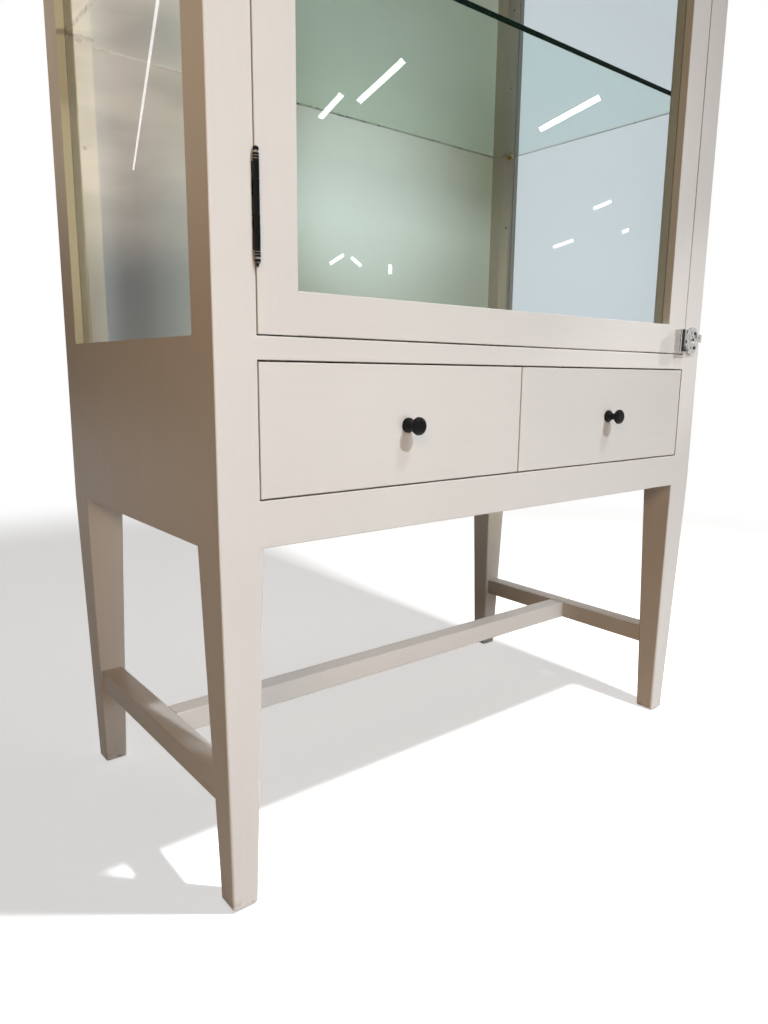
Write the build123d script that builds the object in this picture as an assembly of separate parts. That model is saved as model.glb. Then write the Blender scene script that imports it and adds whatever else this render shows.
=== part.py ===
from build123d import *
import os

# A glazed display armoire on tall tapered legs. All sizes are in millimetres.
# Pieces are laid out from the body's front left corner on the floor: X to the right,
# Y from the front face to the back, Z up. save() then moves each piece so that the
# origin is on the floor under the middle of the whole object.

# Body
BODY_WIDTH = 1000
BODY_DEPTH = 525
BODY_HEIGHT = 2000
POST = 53
GAP = 2
EDGE_EASE = 1.2

# Legs and stretchers
LEG_HEIGHT = 470
LEG_TOP = 58
FOOT_WIDTH = 35.5
FOOT_INSET = 10
FOOT_EASE = 4
SOLE_EASE = 2.5
CORNER_EASE = 2
GLIDE_RADIUS = 11
GLIDE_HEIGHT = 3
STRETCHER = 34
STRETCHER_LOW = 138.5
STRETCHER_INSET = 10
STRETCHER_EASE = 2

# Rails, panels and boards
APRON_HEIGHT = 56.5
DRAWER_FRONT_HEIGHT = 157
MIDDLE_RAIL_HEIGHT = 26.5
RAIL_DEPTH = 27
TOP_RAIL_HEIGHT = 62
STOP_LIP = 12
SIDE_THICKNESS = 27
DECK_THICKNESS = 18
TOP_BOARD = 24
TOP_OVERHANG = 15
TOP_EASE = 5
BACK_THICKNESS = 6
BACK_SETBACK = 502
BACK_GROOVE = 8
BACK_PLAY = 1
BACK_BOTTOM = 500

# Side panes and the beads that hold them
PANE = 4
PANE_SETBACK = 12
BEAD = 9
REBATE = 8
PANE_PLAY = 1

# Door
DOOR_THICKNESS = 34
STILE_WIDTH = 53.5
DOOR_RAIL_HEIGHT = 50
DOOR_GLASS_SETBACK = 14

# Glass shelves on pins
SHELF = 8
SHELF_SIDE_GAP = 2
SHELF_PLAY = 3
SHELF_FRONT = 40
SHELF_HOLES = 5
LOWEST_HOLE = 1003
HOLE_SPACING = 149.5
SHELF_HOLE_NUMBERS = {"shelf_lower": 1, "shelf_upper": 4}
PIN_INSET = 34
PIN_RADIUS = 3
PIN_DEPTH = 10
PIN_REACH = 12
PIN_COLLAR_RADIUS = 5
PIN_COLLAR = 2

# Drawers and what carries them
DRAWER_FRONT_THICKNESS = 20
DRAWER_SIDE = 12
DRAWER_SIDE_HEIGHT = 123
DRAWER_LENGTH = 450
DRAWER_BOTTOM = 5
DRAWER_BOTTOM_RISE = 9
DRAWER_GROOVE = 6
DRAWER_POST_CLEARANCE = 4
DIVIDER = 18
DIVIDER_BOTTOM = 500
RUNNER_WIDTH = 48
INNER_RUNNER_WIDTH = 20
RUNNER_HEIGHT = 18
RUNNER_PLAY = 0.5

# Turned knobs
KNOB_REACH = 27
KNOB_BASE_RADIUS = 10
KNOB_BASE = 4.5
KNOB_BASE_EASE = 2.2
KNOB_NECK_RADIUS = 4.8
KNOB_HEAD_RADIUS = 12
KNOB_HEAD = 8.2
KNOB_HEAD_EASE = 2.8
KNOB_CAP_RADIUS = 8.6
KNOB_CAP = 0.8
KNOB_STUD_RADIUS = 2.5
KNOB_STUD = 16

# Butt hinges with finials
HINGE_RISE = {"lower": 850, "upper": 1778}
KNUCKLES = 5
KNUCKLE_LENGTH = 18
KNUCKLE_PLAY = 0.3
BARREL_RADIUS = 3.5
BARREL_CLEARANCE = 0.6
HINGE_PIN_RADIUS = 2.2
LEAF = 1.5
LEAF_WIDTH = 22
FINIAL_RINGS = [(3.5, 2), (2.9, 0.9), (3.5, 2), (2.9, 0.9), (3.5, 2), (2.8, 1.2)]
FINIAL_BALL_RADIUS = 3.5
FINIAL_TIP_RADIUS = 1.8
FINIAL_TIP = 4.5
FINIAL_TIP_POINT = 0.45
FINIAL_BALL_SINK = 0.8
FINIAL_TIP_SINK = 0.8
HINGE_SCREW_PLACES = [(8, -30), (15, 0), (8, 30)]

# Latch
LATCH_HEIGHT = 740
PLATE_WIDTH = 37
PLATE_HEIGHT = 48
PLATE = 4.5
PLATE_EDGE_GAP = 1.5
PLATE_ROUND = 17.5
PLATE_SCREW_SPREAD = (16, 26)
PIVOT_OFFSET = 7
PIVOT_RADIUS = 3
PIVOT_HEAD_RADIUS = 5.5
PIVOT_HEAD = 2.2
BOSS_RADIUS = 7.5
BOSS = 2
LEVER = 3.2
LEVER_WIDTH = 7
LEVER_REACH = 29
LEVER_TIP_RISE = 8
LATCH_PLAY = 0.3
KEEPER_WIDTH = 31
KEEPER_HEIGHT = 39
KEEPER_DEPTH = 13.5
KEEPER_WALL = 3
KEEPER_EASE = 4
KEEPER_SCREW_RISES = (17, 32.5)
KEEPER_HOLE_RADIUS = 3.5
KEEPER_RISE = 3.5

# Screws and fits
SCREW_HEAD_RADIUS = 3.2
SCREW_HEAD = 1.5
SCREW_SHANK_RADIUS = 1.7
SCREW_LENGTH = 18
FIT = 0.05

# Levels worked out from the sizes above
FRONT_Y = -(BODY_DEPTH - KNOB_REACH) / 2
BOARD_BOTTOM = BODY_HEIGHT - TOP_BOARD
APRON_TOP = LEG_HEIGHT + APRON_HEIGHT
DRAWER_LOW = APRON_TOP + GAP
DRAWER_HIGH = DRAWER_LOW + DRAWER_FRONT_HEIGHT
MIDDLE_RAIL_LOW = DRAWER_HIGH + GAP
DECK_TOP = MIDDLE_RAIL_LOW + MIDDLE_RAIL_HEIGHT
DECK_LOW = DECK_TOP - DECK_THICKNESS
DOOR_LOW = DECK_TOP + GAP
OPENING_TOP = BOARD_BOTTOM - TOP_RAIL_HEIGHT
DOOR_HIGH = OPENING_TOP - GAP
DOOR_LEFT = POST + GAP
DOOR_RIGHT = BODY_WIDTH - DOOR_LEFT
GLASS_LEFT = DOOR_LEFT + STILE_WIDTH
GLASS_RIGHT = DOOR_RIGHT - STILE_WIDTH
GLASS_LOW = DOOR_LOW + DOOR_RAIL_HEIGHT
GLASS_HIGH = DOOR_HIGH - DOOR_RAIL_HEIGHT
REAR_POST = BODY_DEPTH - POST
PANE_BACK = PANE_SETBACK + PANE
BEAD_BACK = PANE_BACK + BEAD
BACK_REAR = BACK_SETBACK + BACK_THICKNESS
MIDDLE_X = BODY_WIDTH / 2
MIDDLE_Y = BODY_DEPTH / 2
HINGE_X = POST + GAP / 2
HINGE_Y = -BARREL_RADIUS - BARREL_CLEARANCE
HINGE_HEIGHT = KNUCKLES * KNUCKLE_LENGTH
BALL_LEVEL = sum(height for _, height in FINIAL_RINGS) + FINIAL_BALL_RADIUS - FINIAL_BALL_SINK
PLATE_LEFT = BODY_WIDTH - POST + PLATE_EDGE_GAP
PLATE_X = PLATE_LEFT + PLATE_WIDTH / 2
PIVOT_X = PLATE_X - PIVOT_OFFSET
LEVER_BACK = -(PLATE + BOSS + LATCH_PLAY)
KEEPER_RIGHT = DOOR_RIGHT
KEEPER_LEFT = KEEPER_RIGHT - KEEPER_WIDTH
KEEPER_X = (KEEPER_LEFT + KEEPER_RIGHT) / 2
KEEPER_LOW = DOOR_LOW + KEEPER_RISE
KEEPER_HIGH = KEEPER_LOW + KEEPER_HEIGHT
RUNNER_TOP = DRAWER_LOW + DRAWER_BOTTOM_RISE - RUNNER_PLAY
DRAWER_SIDE_LOW = RUNNER_TOP + RUNNER_PLAY
DRAWER_SIDE_HIGH = DRAWER_SIDE_LOW + DRAWER_SIDE_HEIGHT
DRAWER_BOTTOM_LOW = DRAWER_SIDE_LOW + DRAWER_BOTTOM_RISE
DRAWER_BOTTOM_HIGH = DRAWER_BOTTOM_LOW + DRAWER_BOTTOM
DRAWER_BACK_END = DRAWER_FRONT_THICKNESS + DRAWER_LENGTH

MIRROR_LEFT_RIGHT = Plane.YZ.offset(MIDDLE_X)
MIRROR_FRONT_BACK = Plane.XZ.offset(-MIDDLE_Y)


def block(x, y, z):
    """A box between the two limits given for each axis."""
    corner = Pos(x[0], y[0], z[0])
    return corner * Box(x[1] - x[0], y[1] - y[0], z[1] - z[0], align=(Align.MIN, Align.MIN, Align.MIN))


def rod(radius, length):
    """A round bar that stands on the XY plane."""
    return Cylinder(radius, length, align=(Align.CENTER, Align.CENTER, Align.MIN))


def edges_at(shape, axis, **place):
    """The straight edges along an axis whose middle is at the given coordinates."""

    def matches(edge):
        middle = edge.center()
        return all(abs(getattr(middle, name.upper()) - value) < FIT for name, value in place.items())

    return shape.edges().filter_by(axis).filter_by(matches)


def eased(shape, radius, *groups):
    """The shape with each group of edges rounded."""
    for axis, place in groups:
        shape = fillet(edges_at(shape, axis, **place), radius)
    return shape


def to_right(shape):
    """The same piece on the other side of the body."""
    return mirror(shape, about=MIRROR_LEFT_RIGHT)


def to_back(shape):
    """The same piece at the other end of the body's depth."""
    return mirror(shape, about=MIRROR_FRONT_BACK)


def save(name, *solids):
    """Writes one piece, or a group of like pieces, in the object's own frame."""
    moved = [Pos(-MIDDLE_X, FRONT_Y, 0) * solid for solid in solids]
    shape = moved[0] if len(moved) == 1 else Compound(children=moved)
    shape.label = name
    export_step(shape, f"parts/{name}.step")


# Corner posts, which run down into the legs

def leg():
    """A leg that narrows on all four faces from the apron to the floor."""
    foot_middle = FOOT_INSET + FOOT_WIDTH / 2
    foot = Pos(foot_middle, foot_middle, GLIDE_HEIGHT) * RectangleRounded(FOOT_WIDTH, FOOT_WIDTH, FOOT_EASE)
    top = Pos(LEG_TOP / 2, LEG_TOP / 2, LEG_HEIGHT) * RectangleRounded(LEG_TOP, LEG_TOP, CORNER_EASE)
    shape = loft([foot, top], ruled=True)
    return fillet(shape.faces().sort_by(Axis.Z)[0].edges(), SOLE_EASE)


def hole_heights():
    """Heights of the shelf pin holes up a post."""
    return [LOWEST_HOLE + number * HOLE_SPACING for number in range(SHELF_HOLES)]


def front_left_post():
    """The post with its leg, the rebate for the side pane and the shelf pin holes."""
    post = block((0, POST), (0, POST), (LEG_HEIGHT, BOARD_BOTTOM))
    post = eased(post, CORNER_EASE, (Axis.Z, dict(x=0, y=0)))
    post = post + leg()
    rebate_levels = (DECK_TOP - REBATE, OPENING_TOP + REBATE)
    post -= block((PANE_SETBACK, BEAD_BACK), (POST - REBATE, POST), rebate_levels)
    for height in hole_heights():
        post -= Pos(PIN_INSET, POST, height) * Rot(90, 0, 0) * rod(PIN_RADIUS, PIN_DEPTH)
    return post


def back_groove():
    """The groove in the rear left post that takes the back panel's edge."""
    levels = (BACK_BOTTOM - BACK_PLAY, BOARD_BOTTOM)
    return block((POST - BACK_GROOVE, POST), (BACK_SETBACK, BACK_REAR), levels)


# Screws

def screw(clearance=0):
    """A screw that stands head up on its thread, or with clearance the hole that it needs."""
    head = rod(SCREW_HEAD_RADIUS + clearance, SCREW_HEAD)
    shank = Pos(0, 0, -SCREW_LENGTH) * rod(SCREW_SHANK_RADIUS + clearance, SCREW_LENGTH)
    return head + shank


def hinge_screw_places(facing):
    """Where the hinge screws sit, for the leaf on the post (-1) or on the door (1)."""
    seat = HINGE_X + facing * (GAP / 2 + SCREW_HEAD)
    turn = Rot(0, -90 * facing, 0)
    return [
        Pos(seat, depth, rise + offset) * turn
        for rise in HINGE_RISE.values()
        for depth, offset in HINGE_SCREW_PLACES
    ]


def surface_screw(x, z, seat):
    """The place of a screw that is driven from the front into a plate's face."""
    return Pos(x, seat, z) * Rot(90, 0, 0)


def plate_screw_places():
    """Where the latch plate's four screws sit."""
    spread_x, spread_z = PLATE_SCREW_SPREAD
    return [
        surface_screw(PLATE_X + sign_x * spread_x / 2, LATCH_HEIGHT + sign_z * spread_z / 2, -PLATE)
        for sign_x in (-1, 1)
        for sign_z in (-1, 1)
    ]


def keeper_screw_places():
    """Where the keeper's two screws sit, on the back of its channel."""
    return [surface_screw(KEEPER_X, KEEPER_LOW + rise, -KEEPER_WALL) for rise in KEEPER_SCREW_RISES]


def drilled(shape, places):
    """The shape with a screw hole at each place."""
    for place in places:
        shape -= place * screw(FIT)
    return shape


# Hinges

def leaf_limits(facing):
    """Where a leaf's thickness lies across the gap, on the post (-1) or on the door (1)."""
    face = HINGE_X + facing * GAP / 2
    return sorted((face, face + facing * LEAF))


def mortise(facing, rise):
    """The pocket in a post (-1) or stile (1) edge that a hinge leaf lies in."""
    levels = (rise - HINGE_HEIGHT / 2, rise + HINGE_HEIGHT / 2)
    return block(leaf_limits(facing), (0, LEAF_WIDTH), levels)


def hinge_leaf(facing, rise):
    """A leaf with its knuckles: the post's leaf has the odd ones, the door's leaf those between."""
    leaf = mortise(facing, rise)
    low = rise - HINGE_HEIGHT / 2
    for number in range(0 if facing < 0 else 1, KNUCKLES, 2):
        start = low + number * KNUCKLE_LENGTH + KNUCKLE_PLAY / 2
        length = KNUCKLE_LENGTH - KNUCKLE_PLAY
        leaf += block(leaf_limits(facing), (HINGE_Y, 0), (start, start + length))
        leaf += Pos(HINGE_X, HINGE_Y, start) * rod(BARREL_RADIUS, length)
    leaf -= Pos(HINGE_X, HINGE_Y, low) * rod(HINGE_PIN_RADIUS + FIT, HINGE_HEIGHT)
    return drilled(leaf, hinge_screw_places(facing))


def finial():
    """Turned rings and a ball that stand on the end of the barrel."""
    shape = Pos(0, 0, BALL_LEVEL) * Sphere(FINIAL_BALL_RADIUS)
    level = 0
    for radius, height in FINIAL_RINGS:
        shape += Pos(0, 0, level) * rod(radius, height)
        level += height
    return shape


def pointed_finial():
    """The finial at the lower end, which has a small point on its ball."""
    tip_level = BALL_LEVEL + FINIAL_BALL_RADIUS - FINIAL_TIP_SINK + FINIAL_TIP / 2
    return finial() + Pos(0, 0, tip_level) * Cone(FINIAL_TIP_RADIUS, FINIAL_TIP_POINT, FINIAL_TIP)


def hinge_pin(rise):
    """The loose pin through the knuckles, with a finial at each end."""
    half = HINGE_HEIGHT / 2
    pin = Pos(0, 0, -half) * rod(HINGE_PIN_RADIUS, HINGE_HEIGHT)
    pin += Pos(0, 0, half) * finial()
    pin += Pos(0, 0, -half) * Rot(180, 0, 0) * pointed_finial()
    return Pos(HINGE_X, HINGE_Y, rise) * pin


# Latch

def front_outline(x, z, sketch):
    """A sketch stood up facing the front, with its middle at x and z."""
    return Pos(x, 0, z) * Rot(90, 0, 0) * sketch


def latch_plate():
    """A round-cornered plate on the right post, with the boss that the lever turns on."""
    outline = RectangleRounded(PLATE_WIDTH, PLATE_HEIGHT, PLATE_ROUND)
    plate = extrude(front_outline(PLATE_X, LATCH_HEIGHT, outline), PLATE)
    plate += Pos(PIVOT_X, -PLATE, LATCH_HEIGHT) * Rot(90, 0, 0) * rod(BOSS_RADIUS, BOSS)
    plate -= Pos(PIVOT_X, 0, LATCH_HEIGHT) * Rot(90, 0, 0) * rod(PIVOT_RADIUS, PLATE + BOSS)
    return drilled(plate, plate_screw_places())


def latch_pivot():
    """The rivet that holds the lever on its boss."""
    head_start = PLATE + BOSS + LEVER + 2 * LATCH_PLAY
    pivot = rod(PIVOT_RADIUS, head_start) + Pos(0, 0, head_start) * rod(PIVOT_HEAD_RADIUS, PIVOT_HEAD)
    return Pos(PIVOT_X, 0, LATCH_HEIGHT) * Rot(90, 0, 0) * pivot


def latch_lever():
    """The lever at rest, pointing away from the door, with its upturned finger tip."""
    tip_x = LEVER_REACH - LEVER_WIDTH / 2
    outline = Circle(BOSS_RADIUS)
    outline += Pos(tip_x / 2, 0) * Rectangle(tip_x, LEVER_WIDTH)
    outline += Pos(tip_x, 0) * Circle(LEVER_WIDTH / 2)
    outline += Pos(tip_x, LEVER_TIP_RISE / 2) * SlotCenterToCenter(LEVER_TIP_RISE, LEVER_WIDTH, rotation=90)
    outline -= Circle(PIVOT_RADIUS + FIT)
    return Pos(0, LEVER_BACK, 0) * extrude(front_outline(PIVOT_X, LATCH_HEIGHT, outline), LEVER)


def latch_keeper():
    """A pocket on the door, open above and at the right, that the lever drops into.

    A hole and a notch in its front wall let a driver reach the two screws.
    """
    keeper = block((KEEPER_LEFT, KEEPER_RIGHT), (-KEEPER_DEPTH, 0), (KEEPER_LOW, KEEPER_HIGH))
    keeper = eased(keeper, KEEPER_EASE, (Axis.Z, dict(x=KEEPER_LEFT, y=-KEEPER_DEPTH)))
    keeper -= block(
        (KEEPER_LEFT + KEEPER_WALL, KEEPER_RIGHT),
        (-KEEPER_DEPTH + KEEPER_WALL, -KEEPER_WALL),
        (KEEPER_LOW + KEEPER_WALL, KEEPER_HIGH),
    )
    front_wall = (-KEEPER_DEPTH, -KEEPER_DEPTH + KEEPER_WALL)
    for rise in KEEPER_SCREW_RISES:
        middle = Pos(KEEPER_X, front_wall[1], KEEPER_LOW + rise)
        keeper -= middle * Rot(90, 0, 0) * rod(KEEPER_HOLE_RADIUS, KEEPER_WALL)
    notch = (KEEPER_X - KEEPER_HOLE_RADIUS, KEEPER_X + KEEPER_HOLE_RADIUS)
    keeper -= block(notch, front_wall, (KEEPER_LOW + KEEPER_SCREW_RISES[1], KEEPER_HIGH))
    return drilled(keeper, keeper_screw_places())


# Door

def door_stile():
    """The left stile, with the rebate for the pane cut from the back."""
    stile = block((DOOR_LEFT, GLASS_LEFT), (0, DOOR_THICKNESS), (DOOR_LOW, DOOR_HIGH))
    stile = eased(stile, EDGE_EASE, (Axis.Z, dict(x=DOOR_LEFT, y=0)), (Axis.Z, dict(x=GLASS_LEFT, y=0)))
    levels = (GLASS_LOW - REBATE, GLASS_HIGH + REBATE)
    return stile - block((GLASS_LEFT - REBATE, GLASS_LEFT), (DOOR_GLASS_SETBACK, DOOR_THICKNESS), levels)


def door_rail(low, rebate_low):
    """A rail between the stiles, with its own stretch of the rebate."""
    high = low + DOOR_RAIL_HEIGHT
    rail = block((GLASS_LEFT, GLASS_RIGHT), (0, DOOR_THICKNESS), (low, high))
    rail = eased(rail, EDGE_EASE, (Axis.X, dict(y=0, z=low)), (Axis.X, dict(y=0, z=high)))
    rebate = (rebate_low, rebate_low + REBATE)
    return rail - block((GLASS_LEFT, GLASS_RIGHT), (DOOR_GLASS_SETBACK, DOOR_THICKNESS), rebate)


def bead_frame(across, thickness, up):
    """Four beads round an opening: uprights the full height, the others between them.

    across and up are the opening's limits; the beads stand outside them, by the rebate's depth.
    """
    tall = (up[0] - REBATE, up[1] + REBATE)
    uprights = [(across[0] - REBATE, across[0]), (across[1], across[1] + REBATE)]
    levels = [(up[0] - REBATE, up[0]), (up[1], up[1] + REBATE)]
    beads = [block(side, thickness, tall) for side in uprights]
    return beads + [block(across, thickness, level) for level in levels]


def side_beads():
    """The beads behind the left side pane."""
    turned = Rot(0, 0, 90)
    beads = bead_frame((POST, REAR_POST), (-BEAD_BACK, -PANE_BACK), (DECK_TOP, OPENING_TOP))
    return [turned * bead for bead in beads]


# Shelves

def shelf(rise):
    """A glass shelf, notched at its four corners round the posts."""
    levels = (rise, rise + SHELF)
    across = (PANE_BACK + SHELF_SIDE_GAP, BODY_WIDTH - PANE_BACK - SHELF_SIDE_GAP)
    between_posts = (POST + SHELF_PLAY, BODY_WIDTH - POST - SHELF_PLAY)
    glass = block(across, (POST + SHELF_PLAY, REAR_POST - SHELF_PLAY), levels)
    return glass + block(between_posts, (SHELF_FRONT, BACK_SETBACK - SHELF_PLAY), levels)


def shelf_pins(height):
    """Four pins at one height: two in the front posts and two in the rear posts."""
    pin = rod(PIN_COLLAR_RADIUS, PIN_COLLAR)
    pin += Pos(0, 0, -PIN_DEPTH) * rod(PIN_RADIUS, PIN_DEPTH + PIN_REACH)
    front_left = Pos(PIN_INSET, POST, height) * Rot(-90, 0, 0) * pin
    left = [front_left, to_back(front_left)]
    return left + [to_right(piece) for piece in left]


# Drawers

def knob(x, z):
    """A turned knob with a flange, a neck and a flat round head, on its own stud."""
    base = rod(KNOB_BASE_RADIUS, KNOB_BASE)
    base = fillet(base.edges().sort_by(Axis.Z)[-1], KNOB_BASE_EASE)
    head = fillet(rod(KNOB_HEAD_RADIUS, KNOB_HEAD).edges(), KNOB_HEAD_EASE)
    head += Pos(0, 0, KNOB_HEAD) * rod(KNOB_CAP_RADIUS, KNOB_CAP)
    head_start = KNOB_REACH - KNOB_CAP - KNOB_HEAD
    shape = base + rod(KNOB_NECK_RADIUS, head_start) + Pos(0, 0, head_start) * head
    shape += Pos(0, 0, -KNOB_STUD) * rod(KNOB_STUD_RADIUS, KNOB_STUD)
    return Pos(x, 0, z) * Rot(90, 0, 0) * shape


def left_drawer():
    """The pieces of the left drawer by name."""
    front_x = (DOOR_LEFT, MIDDLE_X - GAP / 2)
    box_x = (POST + DRAWER_POST_CLEARANCE, MIDDLE_X - DIVIDER / 2 - GAP)
    inside_x = (box_x[0] + DRAWER_SIDE, box_x[1] - DRAWER_SIDE)
    side_y = (DRAWER_FRONT_THICKNESS, DRAWER_BACK_END)
    side_z = (DRAWER_SIDE_LOW, DRAWER_SIDE_HIGH)
    middle_x = sum(front_x) / 2
    middle_z = (DRAWER_LOW + DRAWER_HIGH) / 2
    bottom = block(
        (inside_x[0] - DRAWER_GROOVE, inside_x[1] + DRAWER_GROOVE),
        (DRAWER_FRONT_THICKNESS - DRAWER_GROOVE, DRAWER_BACK_END),
        (DRAWER_BOTTOM_LOW, DRAWER_BOTTOM_HIGH),
    )
    front = block(front_x, (0, DRAWER_FRONT_THICKNESS), (DRAWER_LOW, DRAWER_HIGH))
    front = fillet(front.faces().sort_by(Axis.Y)[0].edges(), EDGE_EASE)
    front -= Pos(middle_x, 0, middle_z) * Rot(-90, 0, 0) * rod(KNOB_STUD_RADIUS, KNOB_STUD)
    back_y = (DRAWER_BACK_END - DRAWER_SIDE, DRAWER_BACK_END)
    return {
        "front": front - bottom,
        "side_left": block((box_x[0], inside_x[0]), side_y, side_z) - bottom,
        "side_right": block((inside_x[1], box_x[1]), side_y, side_z) - bottom,
        "back": block(inside_x, back_y, (DRAWER_BOTTOM_HIGH, DRAWER_SIDE_HIGH)),
        "bottom": bottom,
        "knob": knob(middle_x, middle_z),
    }


def left_runners():
    """The two runners under the left drawer: one on the side panel, one on the divider."""
    levels = (RUNNER_TOP - RUNNER_HEIGHT, RUNNER_TOP)
    outer = block((SIDE_THICKNESS, SIDE_THICKNESS + RUNNER_WIDTH), (POST, REAR_POST), levels)
    divider_face = MIDDLE_X - DIVIDER / 2
    inner = block((divider_face - INNER_RUNNER_WIDTH, divider_face), (RAIL_DEPTH, BACK_SETBACK), levels)
    return [outer, inner]


# Build and write every piece

os.makedirs("parts", exist_ok=True)

plain_post = front_left_post()
rear_left = to_back(plain_post) - back_groove()
front_left = plain_post
for rise in HINGE_RISE.values():
    front_left -= mortise(-1, rise)
front_left = drilled(front_left, hinge_screw_places(-1))
save("post_front_left", front_left)
save("post_front_right", drilled(to_right(plain_post), plate_screw_places()))
save("post_rear_left", rear_left)
save("post_rear_right", to_right(rear_left))

glide_place = Pos(FOOT_INSET + FOOT_WIDTH / 2, FOOT_INSET + FOOT_WIDTH / 2, 0)
left_glides = [glide_place * rod(GLIDE_RADIUS, GLIDE_HEIGHT)]
left_glides.append(to_back(left_glides[0]))
save("foot_glides", *left_glides, *[to_right(glide) for glide in left_glides])

between_posts_x = (POST, BODY_WIDTH - POST)
between_posts_y = (POST, REAR_POST)
front_rail_y = (0, RAIL_DEPTH)
rear_rail_y = (BACK_REAR, BODY_DEPTH)
apron_z = (LEG_HEIGHT, APRON_TOP)
top_rail_z = (OPENING_TOP, BOARD_BOTTOM)
front_apron = block(between_posts_x, front_rail_y, apron_z)
apron_edges = [(Axis.X, dict(y=0, z=level)) for level in apron_z]
save("front_apron", eased(front_apron, EDGE_EASE, *apron_edges))
save("rear_apron", block(between_posts_x, rear_rail_y, apron_z))
middle_rail = block(between_posts_x, front_rail_y, (MIDDLE_RAIL_LOW, DECK_TOP))
middle_rail_edges = [(Axis.X, dict(y=0, z=level)) for level in (MIDDLE_RAIL_LOW, DECK_TOP)]
save("middle_rail", eased(middle_rail, EDGE_EASE, *middle_rail_edges))
stop_lip = block(
    between_posts_x,
    (DOOR_THICKNESS + GAP, DOOR_THICKNESS + GAP + STOP_LIP),
    (OPENING_TOP - STOP_LIP, BOARD_BOTTOM),
)
save("front_top_rail", block(between_posts_x, (0, DOOR_THICKNESS + GAP), top_rail_z) + stop_lip)
save("rear_top_rail", block(between_posts_x, rear_rail_y, top_rail_z))

side_panel = block((0, SIDE_THICKNESS), between_posts_y, (LEG_HEIGHT, DECK_TOP))
side_panel = eased(side_panel, EDGE_EASE, (Axis.Y, dict(x=0, z=LEG_HEIGHT)))
side_panel -= block((PANE_SETBACK, BEAD_BACK), between_posts_y, (DECK_TOP - REBATE, DECK_TOP))
side_top_rail = block((0, SIDE_THICKNESS), between_posts_y, top_rail_z)
side_top_rail -= block((PANE_SETBACK, BEAD_BACK), between_posts_y, (OPENING_TOP, OPENING_TOP + REBATE))
side_pane = block(
    (PANE_SETBACK, PANE_BACK),
    (POST - REBATE + PANE_PLAY, REAR_POST + REBATE - PANE_PLAY),
    (DECK_TOP - REBATE + PANE_PLAY, OPENING_TOP + REBATE - PANE_PLAY),
)
stretcher_z = (STRETCHER_LOW, STRETCHER_LOW + STRETCHER)
stretcher_x = (STRETCHER_INSET, STRETCHER_INSET + STRETCHER)
foot_back = FOOT_INSET + FOOT_WIDTH
side_stretcher = block(stretcher_x, (foot_back, BODY_DEPTH - foot_back), stretcher_z)
side_stretcher = fillet(side_stretcher.edges().filter_by(Axis.Y), STRETCHER_EASE)
side_stretcher = side_stretcher - leg() - to_back(leg())
for side, place in (("left", lambda piece: piece), ("right", to_right)):
    save(f"side_panel_{side}", place(side_panel))
    save(f"side_top_rail_{side}", place(side_top_rail))
    save(f"side_glass_{side}", place(side_pane))
    save(f"glass_beads_{side}", *[place(bead) for bead in side_beads()])
    save(f"side_stretcher_{side}", place(side_stretcher))
long_stretcher = block(
    (stretcher_x[1], BODY_WIDTH - stretcher_x[1]),
    (MIDDLE_Y - STRETCHER / 2, MIDDLE_Y + STRETCHER / 2),
    stretcher_z,
)
save("long_stretcher", fillet(long_stretcher.edges().filter_by(Axis.X), STRETCHER_EASE))

deck_x = (SIDE_THICKNESS, BODY_WIDTH - SIDE_THICKNESS)
deck = block(deck_x, (RAIL_DEPTH, BACK_SETBACK), (DECK_LOW, DECK_TOP))
post_core = block((0, POST), (0, POST), (0, BODY_HEIGHT))
left_cores = [post_core, to_back(post_core)]
for core in left_cores:
    deck = deck - core - to_right(core)
save("deck_panel", deck)
top_board = block(
    (-TOP_OVERHANG, BODY_WIDTH + TOP_OVERHANG),
    (-TOP_OVERHANG, BODY_DEPTH),
    (BOARD_BOTTOM, BODY_HEIGHT),
)
rear_corners = top_board.edges().filter_by(Axis.X).sort_by(Axis.Y)[-2:]
top_rims = top_board.edges().filter_by(GeomType.LINE) - top_board.edges().filter_by(Axis.Z) - rear_corners
save("top_board", fillet(top_rims, TOP_EASE))
back_reach = BACK_GROOVE - BACK_PLAY
back_x = (POST - back_reach, BODY_WIDTH - POST + back_reach)
save("back_panel", block(back_x, (BACK_SETBACK, BACK_REAR), (BACK_BOTTOM, BOARD_BOTTOM)))
divider_x = (MIDDLE_X - DIVIDER / 2, MIDDLE_X + DIVIDER / 2)
save("drawer_divider", block(divider_x, (RAIL_DEPTH, BACK_SETBACK), (DIVIDER_BOTTOM, DECK_LOW)))
save("drawer_runners", *left_runners(), *[to_right(runner) for runner in left_runners()])

pins = []
for name, number in SHELF_HOLE_NUMBERS.items():
    pin_height = hole_heights()[number]
    save(name, shelf(pin_height + PIN_RADIUS))
    pins += shelf_pins(pin_height)
save("shelf_pins", *pins)

for name, rise in HINGE_RISE.items():
    save(f"hinge_frame_leaf_{name}", hinge_leaf(-1, rise))
    save(f"hinge_door_leaf_{name}", hinge_leaf(1, rise))
    save(f"hinge_pin_{name}", hinge_pin(rise))
save("frame_screws", *[place * screw() for place in hinge_screw_places(-1) + plate_screw_places()])
save("door_screws", *[place * screw() for place in hinge_screw_places(1) + keeper_screw_places()])
save("latch_plate", latch_plate())
save("latch_pivot", latch_pivot())
save("latch_lever", latch_lever())
save("latch_keeper", latch_keeper())

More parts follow.
